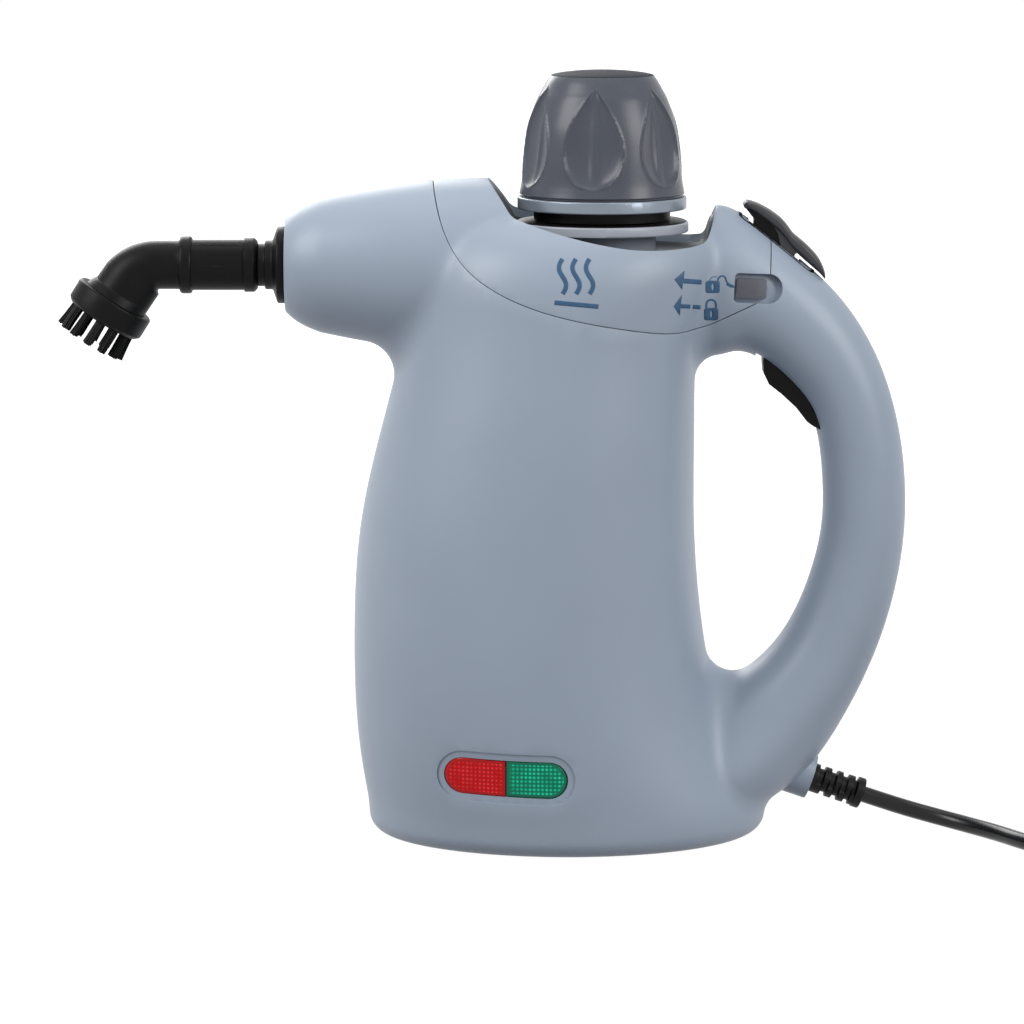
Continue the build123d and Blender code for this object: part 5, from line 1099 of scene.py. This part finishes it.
def make_nozzle_details():
    vertices, faces = [], []
    half_line = mould_line_width / nozzle_barrel_radius / 2
    ridges = [(mould_line_front, mould_line_back, turn - half_line, turn + half_line, mould_line_height)
              for turn in mould_line_turns]
    ridges.append((catch_middle - catch_length / 2, catch_middle + catch_length / 2,
                   mould_line_turns[0] - catch_half_turn, mould_line_turns[0] + catch_upper_turn,
                   catch_height))
    for ridge in ridges:
        add_form(vertices, faces, barrel_ridge(*ridge), sheet_faces(ridge_rows, ridge_columns))
    mesh_object("nozzle_mould_lines", vertices, faces, "nozzle", "black_plastic", 60)


# Floor, lights and world
floor_radius = 6.0
floor_columns = 96
floor_colour = linear(140, 140, 142)
floor_cloud = 8.0
floor_seen_strength = 1.25
floor_glow_near = 0.78
floor_fade = (0.20, 0.75)
white = (1.0, 1.0, 1.0, 1.0)
world_colour = (0.96, 0.98, 1.0, 1.0)
world_strength = 0.42
object_middle = (0.0, 0.0, 0.12)
lights = (("key_light", (-1.20, -0.62, 1.10), (0.8, 1.0), 18.5),
          ("fill_light", (1.25, -0.85, 0.85), (0.7, 0.9), 15.5),
          ("top_light", (0.0, 0.10, 1.40), (0.9, 0.7), 3),
          ("back_light", (-0.5, 1.3, 0.9), (0.9, 0.9), 12))


def seen_directly(tree):
    """One where a ray comes from the camera, a reflection or glass, and nought elsewhere."""
    rays = tree.nodes.new("ShaderNodeLightPath").outputs
    seen = math_node(tree, "MAXIMUM", rays["Is Camera Ray"], rays["Is Glossy Ray"])
    return math_node(tree, "MAXIMUM", seen, rays["Is Transmission Ray"])


def mix_shaders(tree, factor, first, second, output):
    """Two shaders mixed into an output node."""
    mix = tree.nodes.new("ShaderNodeMixShader")
    for socket, source in zip(mix.inputs, (factor, first, second)):
        tree.links.new(source, socket)
    tree.links.new(mix.outputs[0], tree.nodes[output].inputs["Surface"])


def make_floor():
    """A pale floor that takes shadows near the object and is seen as plain white beyond."""
    material, tree, shader = new_material("pale_floor")
    stops = ((0.3, shade(floor_colour, -0.01)), (0.7, floor_colour))
    tree.links.new(ramp(tree, noise(tree, floor_cloud), stops), shader.inputs["Base Color"])
    shader.inputs["Roughness"].default_value = 0.9
    shader.inputs["Specular IOR Level"].default_value = 0.0
    glow = tree.nodes.new("ShaderNodeEmission")
    glow.inputs["Color"].default_value = white
    glow.inputs["Strength"].default_value = floor_seen_strength
    distance = tree.nodes.new("ShaderNodeVectorMath")
    distance.operation = "LENGTH"
    tree.links.new(object_place(tree), distance.inputs[0])
    fade = map_range(tree, distance.outputs["Value"], floor_fade, (floor_glow_near, 1.0), "SMOOTHSTEP")
    factor = math_node(tree, "MULTIPLY", fade, seen_directly(tree))
    mix_shaders(tree, factor, shader.outputs[0], glow.outputs[0], "Material Output")
    data = bpy.data.meshes.new("floor")
    grid = bmesh.new()
    bmesh.ops.create_circle(grid, cap_ends=True, segments=floor_columns, radius=floor_radius)
    grid.to_mesh(data)
    grid.free()
    data.materials.append(material)
    new_object("floor", data)


def make_lights():
    for name, place, size, watts in lights:
        data = bpy.data.lights.new(name, "AREA")
        data.shape = "RECTANGLE"
        data.size, data.size_y = size
        data.energy = watts
        light = new_object(name, data)
        light.location = place
        direction = Vector(object_middle) - Vector(place)
        light.rotation_euler = direction.to_track_quat("-Z", "Y").to_euler()


def make_world():
    """A world that lights softly and is seen as plain white."""
    world = bpy.data.worlds.new("studio")
    world.use_nodes = True
    bpy.context.scene.world = world
    tree = world.node_tree
    lit = tree.nodes["Background"]
    seen = tree.nodes.new("ShaderNodeBackground")
    for node, colour, strength in ((lit, world_colour, world_strength), (seen, white, 1.0)):
        node.inputs["Color"].default_value = colour
        node.inputs["Strength"].default_value = strength
    mix_shaders(tree, seen_directly(tree), lit.outputs[0], seen.outputs[0], "World Output")


# The CAD nodes: their materials, and a small round on the sharp edges that show, in millimetres
edge_rounds = {
    "left_shell": 0.35, "right_shell": 0.35, "top_cover": 0.35, "filler_tray": 0.3, "filler_collar": 0.4,
    "cap_ring": 0.5, "nozzle_spigot": 0.5, "nozzle_collar": 0.3, "brush_head": 0.4, "trigger": 1.3,
    "lock_slider": 0.5, "plug_body": 0.8, "plug_pins": 0.6,
}
round_steps = 3
round_from_angle = math.radians(38)
weld_reach = 0.002 * mm


def dress_cad_nodes():
    """Every CAD node takes the material of its slot."""
    for part in frame["record"]["subparts"]:
        node = frame["nodes"][part["node"]]
        node.data.materials.clear()
        node.data.materials.append(materials[part["material_slot"]])


def soften_edges():
    """The sharp edges that show on the CAD nodes take a small round."""
    for name, width in edge_rounds.items():
        node = frame["nodes"][name]
        weld = node.modifiers.new("weld", "WELD")
        weld.merge_threshold = weld_reach
        bevel = node.modifiers.new("round", "BEVEL")
        bevel.width = width * mm
        bevel.segments = round_steps
        bevel.limit_method = "ANGLE"
        bevel.angle_limit = round_from_angle
        bevel.use_clamp_overlap = True


make_camera()
make_cord()
dress_cad_nodes()
make_cap_grip()
make_lens("lamp_lens_red", -1, "lens_red")
make_lens("lamp_lens_green", 1, "lens_green")
make_marks()
make_strain_relief()
make_bristles()
make_elbow()
make_nozzle_details()
make_thumb_lever()
make_lever_bezel()
make_collar_shade_seal()
soften_edges()
make_floor()
make_lights()
make_world()
bpy.context.scene.view_settings.view_transform = "Standard"
